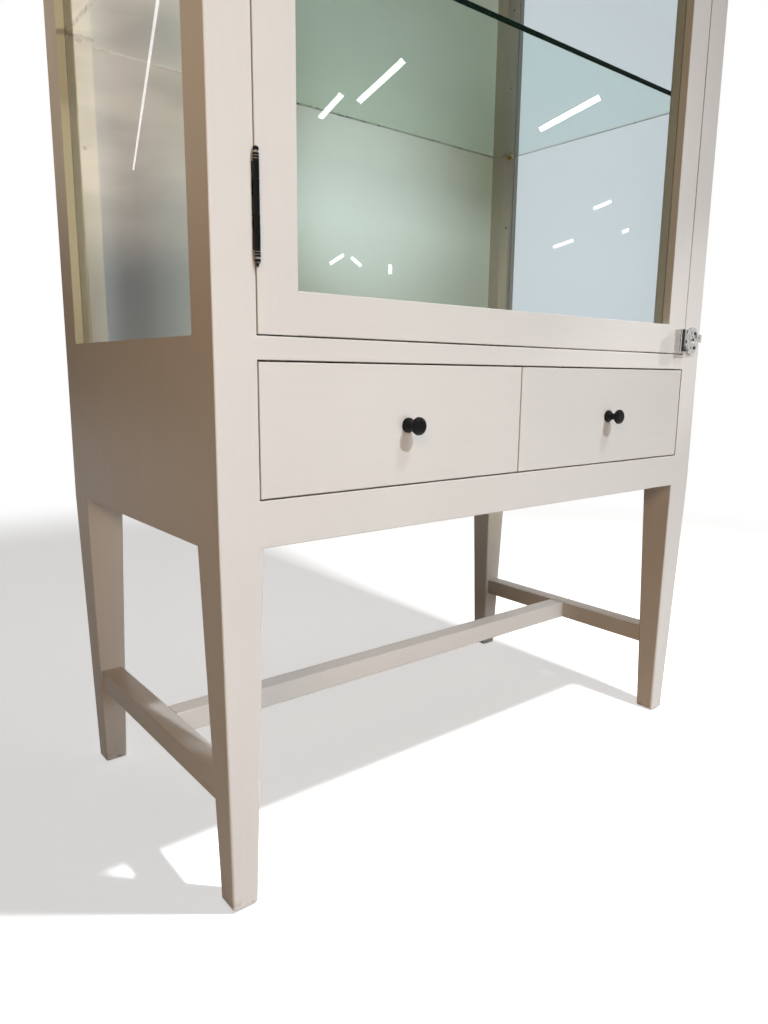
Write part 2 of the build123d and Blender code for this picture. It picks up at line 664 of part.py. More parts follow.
left_stile = door_stile()
right_stile = drilled(to_right(left_stile), keeper_screw_places())
for rise in HINGE_RISE.values():
    left_stile -= mortise(1, rise)
save("door_stile_left", drilled(left_stile, hinge_screw_places(1)))
save("door_stile_right", right_stile)
save("door_rail_bottom", door_rail(DOOR_LOW, GLASS_LOW - REBATE))
save("door_rail_top", door_rail(GLASS_HIGH, GLASS_HIGH))
pane_reach = REBATE - PANE_PLAY
door_pane = block(
    (GLASS_LEFT - pane_reach, GLASS_RIGHT + pane_reach),
    (DOOR_GLASS_SETBACK, DOOR_GLASS_SETBACK + PANE),
    (GLASS_LOW - pane_reach, GLASS_HIGH + pane_reach),
)
save("door_glass", door_pane)
bead_depth = (DOOR_GLASS_SETBACK + PANE, DOOR_THICKNESS)
save("door_beads", *bead_frame((GLASS_LEFT, GLASS_RIGHT), bead_depth, (GLASS_LOW, GLASS_HIGH)))

opposite_side = {"side_left": "side_right", "side_right": "side_left"}
for name, piece in left_drawer().items():
    save(f"drawer_left_{name}", piece)
    save(f"drawer_right_{opposite_side.get(name, name)}", to_right(piece))
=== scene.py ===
"""A glazed display armoire on tall tapered legs: its finishes and fittings, and the studio it stands in."""

import logging
import math
from dataclasses import dataclass
from enum import Enum
from typing import Sequence

import bmesh
import bpy
from mathutils import Matrix, Vector


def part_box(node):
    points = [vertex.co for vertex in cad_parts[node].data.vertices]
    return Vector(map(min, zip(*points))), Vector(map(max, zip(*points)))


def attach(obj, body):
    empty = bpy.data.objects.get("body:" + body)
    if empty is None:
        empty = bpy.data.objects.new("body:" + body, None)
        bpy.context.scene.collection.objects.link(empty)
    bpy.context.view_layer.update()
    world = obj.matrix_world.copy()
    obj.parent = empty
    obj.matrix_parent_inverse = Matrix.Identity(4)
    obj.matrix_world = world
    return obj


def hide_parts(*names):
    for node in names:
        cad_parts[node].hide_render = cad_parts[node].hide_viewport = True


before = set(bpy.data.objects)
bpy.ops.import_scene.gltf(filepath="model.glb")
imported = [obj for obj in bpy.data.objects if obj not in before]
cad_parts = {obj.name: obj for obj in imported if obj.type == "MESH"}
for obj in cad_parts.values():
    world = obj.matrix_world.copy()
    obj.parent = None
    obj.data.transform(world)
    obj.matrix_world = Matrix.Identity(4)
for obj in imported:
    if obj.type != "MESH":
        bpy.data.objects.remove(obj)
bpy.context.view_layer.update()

LOG = logging.getLogger("armoire")
MM = 0.001
ROUND = 35.0
FLAT = 13.0

Colour = tuple[float, float, float, float]
Point = tuple[float, float]
Place = tuple[float, float, float]
Socket = bpy.types.NodeSocket
Material = bpy.types.Material
Form = bmesh.types.BMesh


class Grain(Enum):
    """The way a board runs, as the stretch of its brush marks and grain along X, Y and Z."""

    UPRIGHT = (1.0, 1.0, 0.04)
    ACROSS = (0.04, 1.0, 1.0)
    DEEP = (1.0, 0.04, 1.0)


class Slot(Enum):
    """The record's material slots."""

    PAINT = "painted_wood"
    BARE_WOOD = "bare_wood"
    GLASS = "clear_glass"
    IRON = "black_iron"
    NICKEL = "nickel"
    STEEL = "screw_steel"
    BRASS = "brass"
    NYLON = "nylon"


def display_colour(red: int, green: int, blue: int) -> Colour:
    """A linear colour from display values.

    Args:
        red: Red from 0 to 255.
        green: Green from 0 to 255.
        blue: Blue from 0 to 255.

    Returns:
        The linear colour with full alpha.
    """

    def linear(value: int) -> float:
        """One display value as a linear share."""
        share = value / 255
        return share / 12.92 if share <= 0.04045 else ((share + 0.055) / 1.055) ** 2.4

    return linear(red), linear(green), linear(blue), 1.0


def shaded(colour: Colour, share: float) -> Colour:
    """The same colour, lighter or darker."""
    return colour[0] * share, colour[1] * share, colour[2] * share, 1.0


class NodeSketch:
    """A short way to write a material's nodes, all of them on Object coordinates."""

    def __init__(self, name: str) -> None:
        """Starts a material that has a shader and its output.

        Args:
            name: The material's name.
        """
        self.material = bpy.data.materials.new(name)
        self.material.use_nodes = True
        self.tree = self.material.node_tree
        self.shader = self.tree.nodes["Principled BSDF"]
        self.output = self.tree.nodes["Material Output"]
        self.place = self.add("ShaderNodeTexCoord").outputs["Object"]

    def add(self, kind: str, inputs: dict | None = None, **settings: object) -> bpy.types.Node:
        """Adds one node.

        Args:
            kind: The node's type.
            inputs: Values or sockets for the node's inputs, by name or number.
            settings: Values for the node's own properties.

        Returns:
            The new node.
        """
        node = self.tree.nodes.new(kind)
        for name, value in settings.items():
            setattr(node, name, value)
        for key, value in (inputs or {}).items():
            self.feed(node.inputs[key], value)
        return node

    def feed(self, socket: Socket, value: object) -> None:
        """Links a socket to another one, or sets its value."""
        if isinstance(value, bpy.types.NodeSocket):
            self.tree.links.new(value, socket)
        else:
            socket.default_value = value

    def set(self, **values: object) -> None:
        """Sets the shader's inputs, whose names have underscores for spaces."""
        for name, value in values.items():
            self.feed(self.shader.inputs[name.replace("_", " ")], value)

    def noise(self, scale: float, stretch: Sequence[float] = (1, 1, 1), detail: float = 3.0) -> Socket:
        """A cloudy value from 0 to 1.

        Args:
            scale: Clouds per metre.
            stretch: A share of that scale for each axis.
            detail: How many finer layers are added.

        Returns:
            The value's socket.
        """
        mapping = self.add("ShaderNodeMapping", {"Vector": self.place, "Scale": stretch})
        clouds = {"Vector": mapping.outputs[0], "Scale": scale, "Detail": detail}
        return self.add("ShaderNodeTexNoise", clouds).outputs["Fac"]

    def ramp(self, value: Socket, low: float, high: float) -> Socket:
        """A value that goes from 0 at low to 1 at high, with soft ends; low may be the larger."""
        limits = {"Value": value, "From Min": low, "From Max": high}
        return self.add("ShaderNodeMapRange", limits, interpolation_type="SMOOTHSTEP").outputs[0]

    def math(self, operation: str, first: Socket, second: Socket | float) -> Socket:
        """The result of one sum on two values."""
        return self.add("ShaderNodeMath", {0: first, 1: second}, operation=operation).outputs[0]

    def blend(self, share: Socket, first: Socket | Colour, second: Socket | Colour) -> Socket:
        """A colour between two others.

        Args:
            share: How much of the second colour shows, from 0 to 1.
            first: The colour at 0.
            second: The colour at 1.

        Returns:
            The colour's socket.
        """
        node = self.add("ShaderNodeMix", data_type="RGBA")
        self.feed(node.inputs[0], share)
        self.feed(node.inputs[6], first)
        self.feed(node.inputs[7], second)
        return node.outputs[2]

    def span(self, share: Socket, low: float, high: float) -> Socket:
        """A plain number from low to high, as the share goes from 0 to 1."""
        limits = {"Value": share, "To Min": low, "To Max": high}
        return self.add("ShaderNodeMapRange", limits).outputs[0]

    def bump(self, height: Socket, depth: float, below: Socket | None = None) -> Socket:
        """A bumped normal.

        Args:
            height: The bump's height, from 0 to 1.
            depth: How deep the bump is, in metres.
            below: Another bump that this one lies on.

        Returns:
            The normal's socket.
        """
        inputs = {"Height": height, "Distance": depth}
        if below is not None:
            inputs["Normal"] = below
        return self.add("ShaderNodeBump", inputs).outputs[0]

    def height(self) -> Socket:
        """The height above the floor, in metres."""
        return self.add("ShaderNodeSeparateXYZ", {0: self.place}).outputs["Z"]

    def edge(self, radius: float) -> Socket:
        """A value that is 1 on a piece's corners and 0 on its flats.

        Args:
            radius: How far the corner reaches, in metres.

        Returns:
            The value's socket.
        """
        rounded = self.add("ShaderNodeBevel", {"Radius": radius}, samples=6).outputs[0]
        flat = self.add("ShaderNodeNewGeometry").outputs["Normal"]
        alike = self.add("ShaderNodeVectorMath", {0: rounded, 1: flat}, operation="DOT_PRODUCT")
        return self.ramp(alike.outputs["Value"], 0.985, 0.8)


@dataclass(frozen=True)
class Paint:
    """Satin greige wood paint, brushed along the board and rubbed where hands and feet reach."""

    name: str
    grain: Grain
    colour: Colour = display_colour(212, 207, 202)
    primer: Colour = display_colour(226, 214, 200)
    dirt: Colour = display_colour(150, 132, 118)
    rubbed: bool = False
    leg_top: float = 0.46
    foot_top: float = 0.02

    def material(self) -> Material:
        """The paint's nodes: clouded colour, brush marks, a fine stipple and rubbed corners."""
        sketch = NodeSketch(self.name)
        cloud = sketch.ramp(sketch.noise(3.0, detail=2), 0.3, 0.7)
        brush = sketch.noise(160, self.grain.value, detail=4)
        stipple = sketch.noise(900, detail=2)
        tone = sketch.blend(cloud, shaded(self.colour, 0.97), shaded(self.colour, 1.02))
        streak = sketch.ramp(brush, 0.3, 0.75)
        tone = sketch.blend(sketch.span(streak, 0.0, 0.02), tone, self.dirt)
        if self.rubbed:
            tone = self.rub(sketch, tone)
        normal = sketch.bump(stipple, 0.00005, sketch.bump(brush, 0.00006))
        sketch.set(Base_Color=tone, Roughness=sketch.span(streak, 0.38, 0.46), Normal=normal)
        sketch.set(Specular_IOR_Level=0.25)
        return sketch.material

    def rub(self, sketch: NodeSketch, tone: Socket) -> Socket:
        """Adds rubbed corners and scuffed feet to the paint.

        Args:
            sketch: The paint's nodes so far.
            tone: The paint's colour so far.

        Returns:
            The colour with its wear.
        """
        height = sketch.height()
        corner = sketch.edge(1.6 * MM)
        low = sketch.ramp(height, self.leg_top, self.leg_top - 0.1)
        patches = sketch.ramp(sketch.noise(34, detail=5), 0.5, 0.62)
        bare = sketch.math("MULTIPLY", sketch.math("MULTIPLY", corner, patches), low)
        tone = sketch.blend(bare, tone, self.primer)
        foot = sketch.ramp(height, self.foot_top, 0.0)
        chips = sketch.ramp(sketch.noise(120, detail=4), 0.45, 0.7)
        return sketch.blend(sketch.math("MULTIPLY", foot, chips), tone, self.dirt)


@dataclass(frozen=True)
class BareWood:
    """Unpainted poplar, as used inside drawers."""

    name: str
    grain: Grain
    pale: Colour = display_colour(214, 188, 148)
    dark: Colour = display_colour(176, 142, 100)

    def material(self) -> Material:
        """The wood's nodes: broad figure, fine pores and a dull surface."""
        sketch = NodeSketch(self.name)
        figure = sketch.ramp(sketch.noise(24, self.grain.value, detail=5), 0.3, 0.7)
        pores = sketch.noise(420, self.grain.value, detail=3)
        tone = sketch.blend(figure, self.pale, self.dark)
        fine = sketch.ramp(pores, 0.55, 0.75)
        tone = sketch.blend(sketch.span(fine, 0.0, 0.35), tone, shaded(self.dark, 0.6))
        normal = sketch.bump(pores, 0.0001)
        sketch.set(Base_Color=tone, Roughness=sketch.span(figure, 0.55, 0.7), Normal=normal)
        return sketch.material


@dataclass(frozen=True)
class ClearGlass:
    """Float glass with a faint green tint, which lets lamp light through to what stands behind it."""

    name: str
    tint: Colour
    lamp_tint: Colour = (0.85, 0.88, 0.86, 1.0)

    def material(self) -> Material:
        """The pane's nodes: smooth glass, with smears that only its reflections show."""
        sketch = NodeSketch(self.name)
        smear = sketch.ramp(sketch.noise(7, detail=4), 0.45, 0.75)
        sketch.set(Base_Color=self.tint, Transmission_Weight=1.0, IOR=1.5)
        sketch.set(Roughness=sketch.span(smear, 0.0, 0.012))
        path = sketch.add("ShaderNodeLightPath")
        lamp = sketch.math("MAXIMUM", path.outputs["Is Shadow Ray"], path.outputs["Is Diffuse Ray"])
        clear = sketch.add("ShaderNodeBsdfTransparent", {"Color": self.lamp_tint})
        shaders = {0: lamp, 1: sketch.shader.outputs[0], 2: clear.outputs[0]}
        mixed = sketch.add("ShaderNodeMixShader", shaders)
        sketch.feed(sketch.output.inputs["Surface"], mixed.outputs[0])
        return sketch.material


@dataclass(frozen=True)
class GlassEdge:
    """The ground edge of a glass shelf, deep green because the light has come far through the sheet."""

    name: str = "shelf_edge_glass"
    deep: Colour = display_colour(4, 30, 23)
    pale: Colour = display_colour(20, 62, 50)
    painted_glint: Colour = (0.95, 0.97, 0.95, 1.0)
    front: float = -0.19

    def material(self) -> Material:
        """The edge's nodes: dark green glass, rippled by the grinding wheel, with white spots on all but the
        front edge that are painted glints.
        """
        sketch = NodeSketch(self.name)
        ripple = sketch.noise(260, detail=3)
        tone = sketch.blend(sketch.ramp(ripple, 0.55, 0.75), self.deep, self.pale)
        depth = sketch.add("ShaderNodeSeparateXYZ", {0: sketch.place}).outputs["Y"]
        # white spots on all but the front edge are painted glints, standing in for the sparkle of the ground
        # edge
        behind = sketch.ramp(depth, self.front, self.front + 0.02)
        chips = sketch.math("MULTIPLY", behind, sketch.ramp(sketch.noise(130, detail=2), 0.36, 0.46))
        tone = sketch.blend(chips, tone, self.painted_glint)
        normal = sketch.bump(ripple, 0.0012)
        sketch.set(Base_Color=tone, Roughness=0.3, IOR=1.5, Specular_IOR_Level=0.02, Normal=normal)
        return sketch.material


@dataclass(frozen=True)
class Metal:
    """A metal part with a cast, brushed or plated surface."""

    name: str
    colour: Colour
    wear_and_highlight: Colour
    metallic: float
    roughness: Point
    texture_scale: float
    texture_depth: float
    gloss: float = 0.5
    rim: float = 0.7 * MM

    def material(self) -> Material:
        """The metal's nodes: mottled colour, uneven polish and its surface texture."""
        sketch = NodeSketch(self.name)
        mottle = sketch.noise(self.texture_scale, detail=4)
        share = sketch.ramp(mottle, 0.4, 0.7)
        # edges take the wear_and_highlight colour: rubbed wear on iron, steel and brass, and painted edge
        # highlights on the nickel
        rubbed = sketch.math("MULTIPLY", sketch.edge(self.rim), sketch.ramp(mottle, 0.35, 0.5))
        tone = sketch.blend(share, self.colour, shaded(self.colour, 0.8))
        tone = sketch.blend(rubbed, tone, self.wear_and_highlight)
        polish = sketch.span(share, *self.roughness)
        normal = sketch.bump(mottle, self.texture_depth)
        sketch.set(Base_Color=tone, Metallic=self.metallic, Roughness=polish, Normal=normal)
        sketch.set(Specular_IOR_Level=self.gloss)
        return sketch.material


@dataclass(frozen=True)
class Nylon:
    """Moulded nylon, scuffed by the floor."""

    name: str = "glide_nylon"
    colour: Colour = display_colour(70, 66, 62)

    def material(self) -> Material:
        """The nylon's nodes: a dull colour with paler scuffs."""
        sketch = NodeSketch(self.name)
        scuff = sketch.ramp(sketch.noise(300, detail=4), 0.5, 0.7)
        tone = sketch.blend(scuff, self.colour, shaded(self.colour, 1.6))
        sketch.set(Base_Color=tone, Roughness=sketch.span(scuff, 0.45, 0.7))
        sketch.set(Normal=sketch.bump(scuff, 0.00005))
        return sketch.material


BLACK_IRON = Metal(
    "black_iron",
    colour=display_colour(12, 12, 14),
    wear_and_highlight=display_colour(66, 64, 63),
    metallic=0.0,
    roughness=(0.38, 0.55),
    texture_scale=420,
    texture_depth=0.00012,
    gloss=0.15,
)
# Pale iron for the grooves of the hinge pins' finials: painted highlight lines round the rings, not wear.
GROOVE_HIGHLIGHT_IRON = Metal(
    "worn_iron",
    colour=display_colour(150, 146, 140),
    wear_and_highlight=display_colour(190, 186, 180),
    metallic=0.6,
    roughness=(0.35, 0.5),
    texture_scale=420,
    texture_depth=0.00004,
)
# The nickel's near-white edge colour, spread wide by its rim, is painted highlight on the latch's edges.
NICKEL = Metal(
    "bright_nickel",
    colour=display_colour(208, 206, 203),
    wear_and_highlight=display_colour(250, 248, 245),
    metallic=1.0,
    roughness=(0.09, 0.17),
    texture_scale=260,
    texture_depth=0.00003,
    rim=1.6 * MM,
)
STEEL = Metal(
    "screw_steel",
    colour=display_colour(62, 60, 58),
    wear_and_highlight=display_colour(112, 109, 106),
    metallic=0.8,
    roughness=(0.36, 0.5),
    texture_scale=500,
    texture_depth=0.00003,
)
BRASS = Metal(
    "pin_brass",
    colour=display_colour(196, 160, 92),
    wear_and_highlight=display_colour(226, 200, 140),
    metallic=1.0,
    roughness=(0.2, 0.38),
    texture_scale=380,
    texture_depth=0.00003,
)


def arc(middle: Point, radius: float, start: float, end: float, steps: int = 8) -> list[Point]:
    """Points along an arc.

    Args:
        middle: The arc's middle.
        radius: The arc's radius.
        start: The first angle, in degrees from the first axis.
        end: The last angle, in degrees.
        steps: How many stretches the arc has.

    Returns:
        The points, ends included.
    """
    angles = [math.radians(start + (end - start) * step / steps) for step in range(steps + 1)]
    return [(middle[0] + radius * math.cos(a), middle[1] + radius * math.sin(a)) for a in angles]


def turned(profile: Sequence[Point], steps: int = 48) -> Form:
    """A turned solid that stands on Z.

    Args:
        profile: Radius and height of each point, from the lower end to the upper, both on the axis.
        steps: How many facets go round.

    Returns:
        The solid's mesh.
    """
    form = bmesh.new()
    turns = [2 * math.pi * step / steps for step in range(steps)]
    rings = []
    for radius, level in profile:
        spokes = turns if radius > 0 else turns[:1]
        rings.append([form.verts.new((radius * math.cos(t), radius * math.sin(t), level)) for t in spokes])
    for low, high in zip(rings, rings[1:]):
        for step in range(steps):
            after = (step + 1) % steps
            corners = [low[step % len(low)], low[after % len(low)]]
            corners += [high[after % len(high)], high[step % len(high)]]
            form.faces.new(list(dict.fromkeys(corners)))
    return form


def rectangle(across: Sequence[float], along: Sequence[float]) -> list[Point]:
    """The corners of a rectangle, from its limits along X and Y."""
    return [(across[0], along[0]), (across[1], along[0]), (across[1], along[1]), (across[0], along[1])]


def sawn(outline: Sequence[Point], low: float, high: float, rim: float = 0.0) -> Form:
    """A flat piece cut to an outline in X and Y.

    Args:
        outline: The corners in order.
        low: The level of its lower face.
        high: The level of its upper face.
        rim: How far the edges of both faces are eased.

    Returns:
        The piece's mesh.
    """
    form = bmesh.new()
    floor = form.faces.new([form.verts.new((x, y, low)) for x, y in outline])
    raised = bmesh.ops.extrude_face_region(form, geom=[floor])["geom"]
    lifted = [item for item in raised if isinstance(item, bmesh.types.BMVert)]
    bmesh.ops.translate(form, vec=(0, 0, high - low), verts=lifted)
    if rim:
        rims = [edge for edge in form.edges if edge.verts[0].co.z == edge.verts[1].co.z]
        bmesh.ops.bevel(form, geom=rims, offset=rim, segments=3, profile=0.5, affect="EDGES")
    return form


def merged(forms: Sequence[Form]) -> Form:
    """Several meshes as one, each part of it still closed in itself."""
    whole = bmesh.new()
    for form in forms:
        mesh = bpy.data.meshes.new("part")
        form.to_mesh(mesh)
        form.free()
        whole.from_mesh(mesh)
        bpy.data.meshes.remove(mesh)
    return whole


def cut(form: Form, cutters: Sequence[Form], rim: float) -> Form:
    """A mesh with others cut out of it and its sharp edges eased.

    Args:
        form: The mesh, which is used up.
        cutters: The closed meshes to take away, which are used up.
        rim: How far the edges are eased.

    Returns:
        What is left.
    """
    bodies = []
    for part in (form, *cutters):
        bmesh.ops.recalc_face_normals(part, faces=part.faces)
        mesh = bpy.data.meshes.new("cut")
        part.to_mesh(mesh)
        part.free()
        bodies.append(add_object("cut", mesh))
    for tool in bodies[1:]:
        modifier = bodies[0].modifiers.new("cut", "BOOLEAN")
        modifier.object = tool
        modifier.solver = "EXACT"
    left = bmesh.new()
    left.from_object(bodies[0], bpy.context.evaluated_depsgraph_get())
    for body in bodies:
        bpy.data.objects.remove(body)
    bmesh.ops.dissolve_limit(left, angle_limit=math.radians(1), verts=left.verts, edges=left.edges)
    sharp = [edge for edge in left.edges if edge.calc_face_angle(0.0) > math.radians(40)]
    bmesh.ops.bevel(left, geom=sharp, offset=rim, segments=2, profile=0.5, affect="EDGES", clamp_overlap=True)
    return left


def placed(form: Form, place: Matrix) -> Form:
    """The mesh moved to its place."""
    bmesh.ops.transform(form, matrix=place, verts=form.verts)
    return form


def facing_front(middle: Vector) -> Matrix:
    """The place of a fitting whose own Z axis points to the front and whose own Y axis points up."""
    return Matrix.Translation(middle) @ Matrix.Rotation(math.radians(90), 4, "X")


def add_object(name: str, mesh: bpy.types.Mesh) -> bpy.types.Object:
    """Puts a mesh in the scene, at the origin."""
    piece = bpy.data.objects.new(name, mesh)
    bpy.context.scene.collection.objects.link(piece)
    return piece


def fit(piece: bpy.types.Object, body: str, nodes: Sequence[str]) -> None:
    """Rides a finished piece on its body and hides the plain pieces that it stands for.

    Args:
        piece: The finished piece.
        body: The body that it moves with.
        nodes: The plain pieces that it stands for.
    """
    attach(piece, body)
    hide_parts(*nodes)
    LOG.info("%s: %d faces on %s", piece.name, len(piece.data.polygons), body)


def make(name: str, form: Form, finishes: Sequence[Material], crease: float = ROUND) -> bpy.types.Object:
    """Turns a mesh into a piece of the scene.

    Args:
        name: The piece's name.
        form: Its mesh, which is used up.
        finishes: Its materials.
        crease: The angle between faces, in degrees, above which an edge stays sharp.

    Returns:
        The piece.
    """
    bmesh.ops.remove_doubles(form, verts=form.verts, dist=1e-7)
    bmesh.ops.recalc_face_normals(form, faces=form.faces)
    mesh = bpy.data.meshes.new(name)
    form.to_mesh(mesh)
    form.free()
    for finish in finishes:
        mesh.materials.append(finish)
    mesh.shade_smooth()
    mesh.set_sharp_from_angle(angle=math.radians(crease))
    return add_object(name, mesh)


def islands(node: str) -> list[list[Vector]]:
    """The separate solids of a group of like pieces.

    Args:
        node: The group's name.

    Returns:
        The corners of each solid, in a steady order.
    """
    form = bmesh.new()
    form.from_mesh(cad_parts[node].data)
    bmesh.ops.remove_doubles(form, verts=form.verts, dist=1e-6)
    left = set(form.verts)
    found = []
    while left:
        reached = [left.pop()]
        for vert in reached:
            fresh = {edge.other_vert(vert) for edge in vert.link_edges} & left
            left -= fresh
            reached.extend(fresh)
        found.append([vert.co.copy() for vert in reached])
    form.free()
    return sorted(found, key=lambda corners: tuple(round(value, 5) for value in middle_of(corners)))


def middle_of(corners: Sequence[Vector]) -> Vector:
    """The middle of the box round some points."""
    lows = [min(corner[axis] for corner in corners) for axis in range(3)]
    highs = [max(corner[axis] for corner in corners) for axis in range(3)]
    return (Vector(lows) + Vector(highs)) / 2


def dress(finish: Material, nodes: Sequence[str]) -> None:
    """Gives pieces that keep their plain shape a finish.

    Args:
        finish: The material.
        nodes: The pieces' names.
    """
    for node in nodes:
        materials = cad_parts[node].data.materials
        materials.clear()
        materials.append(finish)
        LOG.info("%s: %s", node, finish.name)


@dataclass
class Carcass:
    """Posts, rails, panels, boards and stretchers, all painted, and the bare runners inside."""

    sides: tuple[str, str] = ("left", "right")

    def dress(self) -> None:
        """Paints each board along its own grain."""
        legs = [f"post_{end}_{side}" for end in ("front", "rear") for side in self.sides]
        dress(Paint("leg_paint", Grain.UPRIGHT, rubbed=True).material(), legs)
        upright = [f"side_panel_{side}" for side in self.sides] + ["back_panel"]
        dress(Paint("upright_paint", Grain.UPRIGHT).material(), upright)
        across = ["front_apron", "rear_apron", "middle_rail", "front_top_rail", "rear_top_rail"]
        across += ["deck_panel", "top_board", "long_stretcher"]
        dress(Paint("cross_paint", Grain.ACROSS).material(), across)
        deep = [f"{name}_{side}" for name in ("side_top_rail", "side_stretcher") for side in self.sides]
        deep += [f"glass_beads_{side}" for side in self.sides]
        dress(Paint("depth_paint", Grain.DEEP).material(), deep)
        dress(BareWood("runner_wood", Grain.DEEP).material(), ["drawer_divider", "drawer_runners"])


@dataclass
class Door:
    """The door's painted frame, the paint that fills its joints, and the beads behind its pane."""

    groove: float = 1.5 * MM
    lap: float = 0.3 * MM
    film: float = 0.02 * MM
    depth: float = 1.0 * MM

    def build(self) -> None:
        """Paints the stiles upright and the rails across, and fills the joints between them."""
        paint = Paint("stile_paint", Grain.UPRIGHT).material()
        dress(paint, ["door_stile_left", "door_stile_right"])
        rails = ["door_rail_bottom", "door_rail_top", "door_beads"]
        dress(Paint("rail_paint", Grain.ACROSS).material(), rails)
        fills = [self.fill(side, rail) for side in ("left", "right") for rail in rails[:2]]
        piece = make("door_joint_paint", merged(fills), [paint], crease=FLAT)
        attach(piece, "door")
        LOG.info("%s: %d faces on door", piece.name, len(piece.data.polygons))

    def fill(self, side: str, rail: str) -> Form:
        """The strip of paint that levels one joint.

        Args:
            side: The side of the stile.
            rail: The rail that meets it.

        Returns:
            The strip's mesh.
        """
        inner, away = (1, -1) if side == "left" else (0, 1)
        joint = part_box(f"door_stile_{side}")[inner].x
        low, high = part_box(rail)
        across = (joint + away * self.groove, joint - away * self.lap)
        outline = rectangle(across, (low.y - self.film, low.y + self.depth))
        return sawn(outline, low.z + self.groove, high.z - self.groove)


@dataclass
class Glazing:
    """The panes in the sides and the door, and the glass shelves with their ground edges."""

    ground: float = 0.7 * MM
    door_tint: Colour = (0.845, 0.905, 0.89, 1.0)
    lamp_tint: Colour = (0.75, 0.745, 0.67, 1.0)
    side_tint: Colour = (0.785, 0.825, 0.88, 1.0)
    shelf_tint: Colour = (0.8, 0.9, 0.865, 1.0)

    def build(self) -> None:
        """Dresses the panes and cuts the shelves."""
        dress(ClearGlass("door_pane_glass", self.door_tint, self.lamp_tint).material(), ["door_glass"])
        side = ClearGlass("side_pane_glass", self.side_tint).material()
        dress(side, ["side_glass_left", "side_glass_right"])
        glass = ClearGlass("shelf_glass", self.shelf_tint, self.lamp_tint)
        finishes = [glass.material(), GlassEdge().material()]
        for node in ("shelf_lower", "shelf_upper"):
            piece = make(f"{node}_ground", self.shelf(node), finishes, crease=FLAT)
            fit(piece, "carcass", [node])

    def shelf(self, node: str) -> Form:
        """A shelf notched round the posts, with its edges ground.

        Args:
            node: The plain shelf that gives the size.

        Returns:
            The shelf's mesh, whose edge faces take the second material.
        """
        low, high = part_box(node)
        corners = {(round(v.co.x, 5), round(v.co.y, 5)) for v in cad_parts[node].data.vertices}
        notch_x = max(x for x, y in corners if math.isclose(y, high.y, abs_tol=1e-4))
        notch_y = max(y for x, y in corners if math.isclose(x, high.x, abs_tol=1e-4))
        notch_front = min(y for x, y in corners if math.isclose(x, high.x, abs_tol=1e-4))
        right = [(notch_x, low.y), (notch_x, notch_front), (high.x, notch_front)]
        right += [(high.x, notch_y), (notch_x, notch_y), (notch_x, high.y)]
        outline = right + [(-x, y) for x, y in reversed(right)]
        form = sawn(outline, low.z, high.z, self.ground)
        form.normal_update()
        for face in form.faces:
            face.material_index = 0 if abs(face.normal.z) > 0.9 else 1
        return form


@dataclass
class Knob:
    """A turned iron knob: a domed flange, a waisted neck and a stepped round head."""

    side: str
    finish: Material
    flange: float = 10.0 * MM
    flange_height: float = 4.5 * MM
    neck: float = 4.8 * MM
    head: float = 12.0 * MM
    head_back: float = 18.0 * MM
    cap: float = 8.6 * MM
    cap_height: float = 0.8 * MM
    stud: float = 2.5 * MM

    def build(self) -> None:
        """Turns the knob and sets it on its drawer."""
        node = f"drawer_{self.side}_knob"
        low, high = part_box(node)
        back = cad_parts[f"drawer_{self.side}_front"]
        face = min(corner.co.y for corner in back.data.vertices)
        middle = Vector(((low.x + high.x) / 2, face, (low.z + high.z) / 2))
        profile = self.profile(reach=face - low.y, stud_length=high.y - face)
        piece = make(f"knob_{self.side}", placed(turned(profile), facing_front(middle)), [self.finish])
        fit(piece, f"{self.side}_drawer", [node])

    def profile(self, reach: float, stud_length: float) -> list[Point]:
        """The knob's outline from the end of its stud to the middle of its cap.

        Args:
            reach: How far the knob stands out from the drawer.
            stud_length: How deep its stud goes.

        Returns:
            Radius and height of each point.
        """
        shoulder = 2.6 * MM
        rim = (reach - self.cap_height - self.head_back) / 2
        waist = self.head_back - self.flange_height
        stud = [(0.0, -stud_length), (self.stud, -stud_length), (self.stud, 0.0)]
        flange = [(self.flange, 0.0), (self.flange, 0.6 * MM)]
        flange += arc((self.flange - shoulder, self.flange_height - shoulder), shoulder, 0, 80)
        sweep = [step / 8 for step in range(1, 8)]
        neck = [
            (self.neck + (self.flange - shoulder - self.neck) * (1 - share) ** 3
             + (self.head - rim - self.neck) * share ** 5, self.flange_height + waist * share)
            for share in sweep
        ]
        head = arc((self.head - rim, self.head_back + rim), rim, -90, 75)
        step_level = reach - self.cap_height
        cap = [(self.cap + 0.5 * MM, step_level - 0.1 * MM), (self.cap, step_level + 0.25 * MM)]
        cap += [(self.cap - 0.5 * MM, reach - 0.15 * MM), (self.cap * 0.6, reach), (0.0, reach)]
        return stud + flange + neck + head + cap


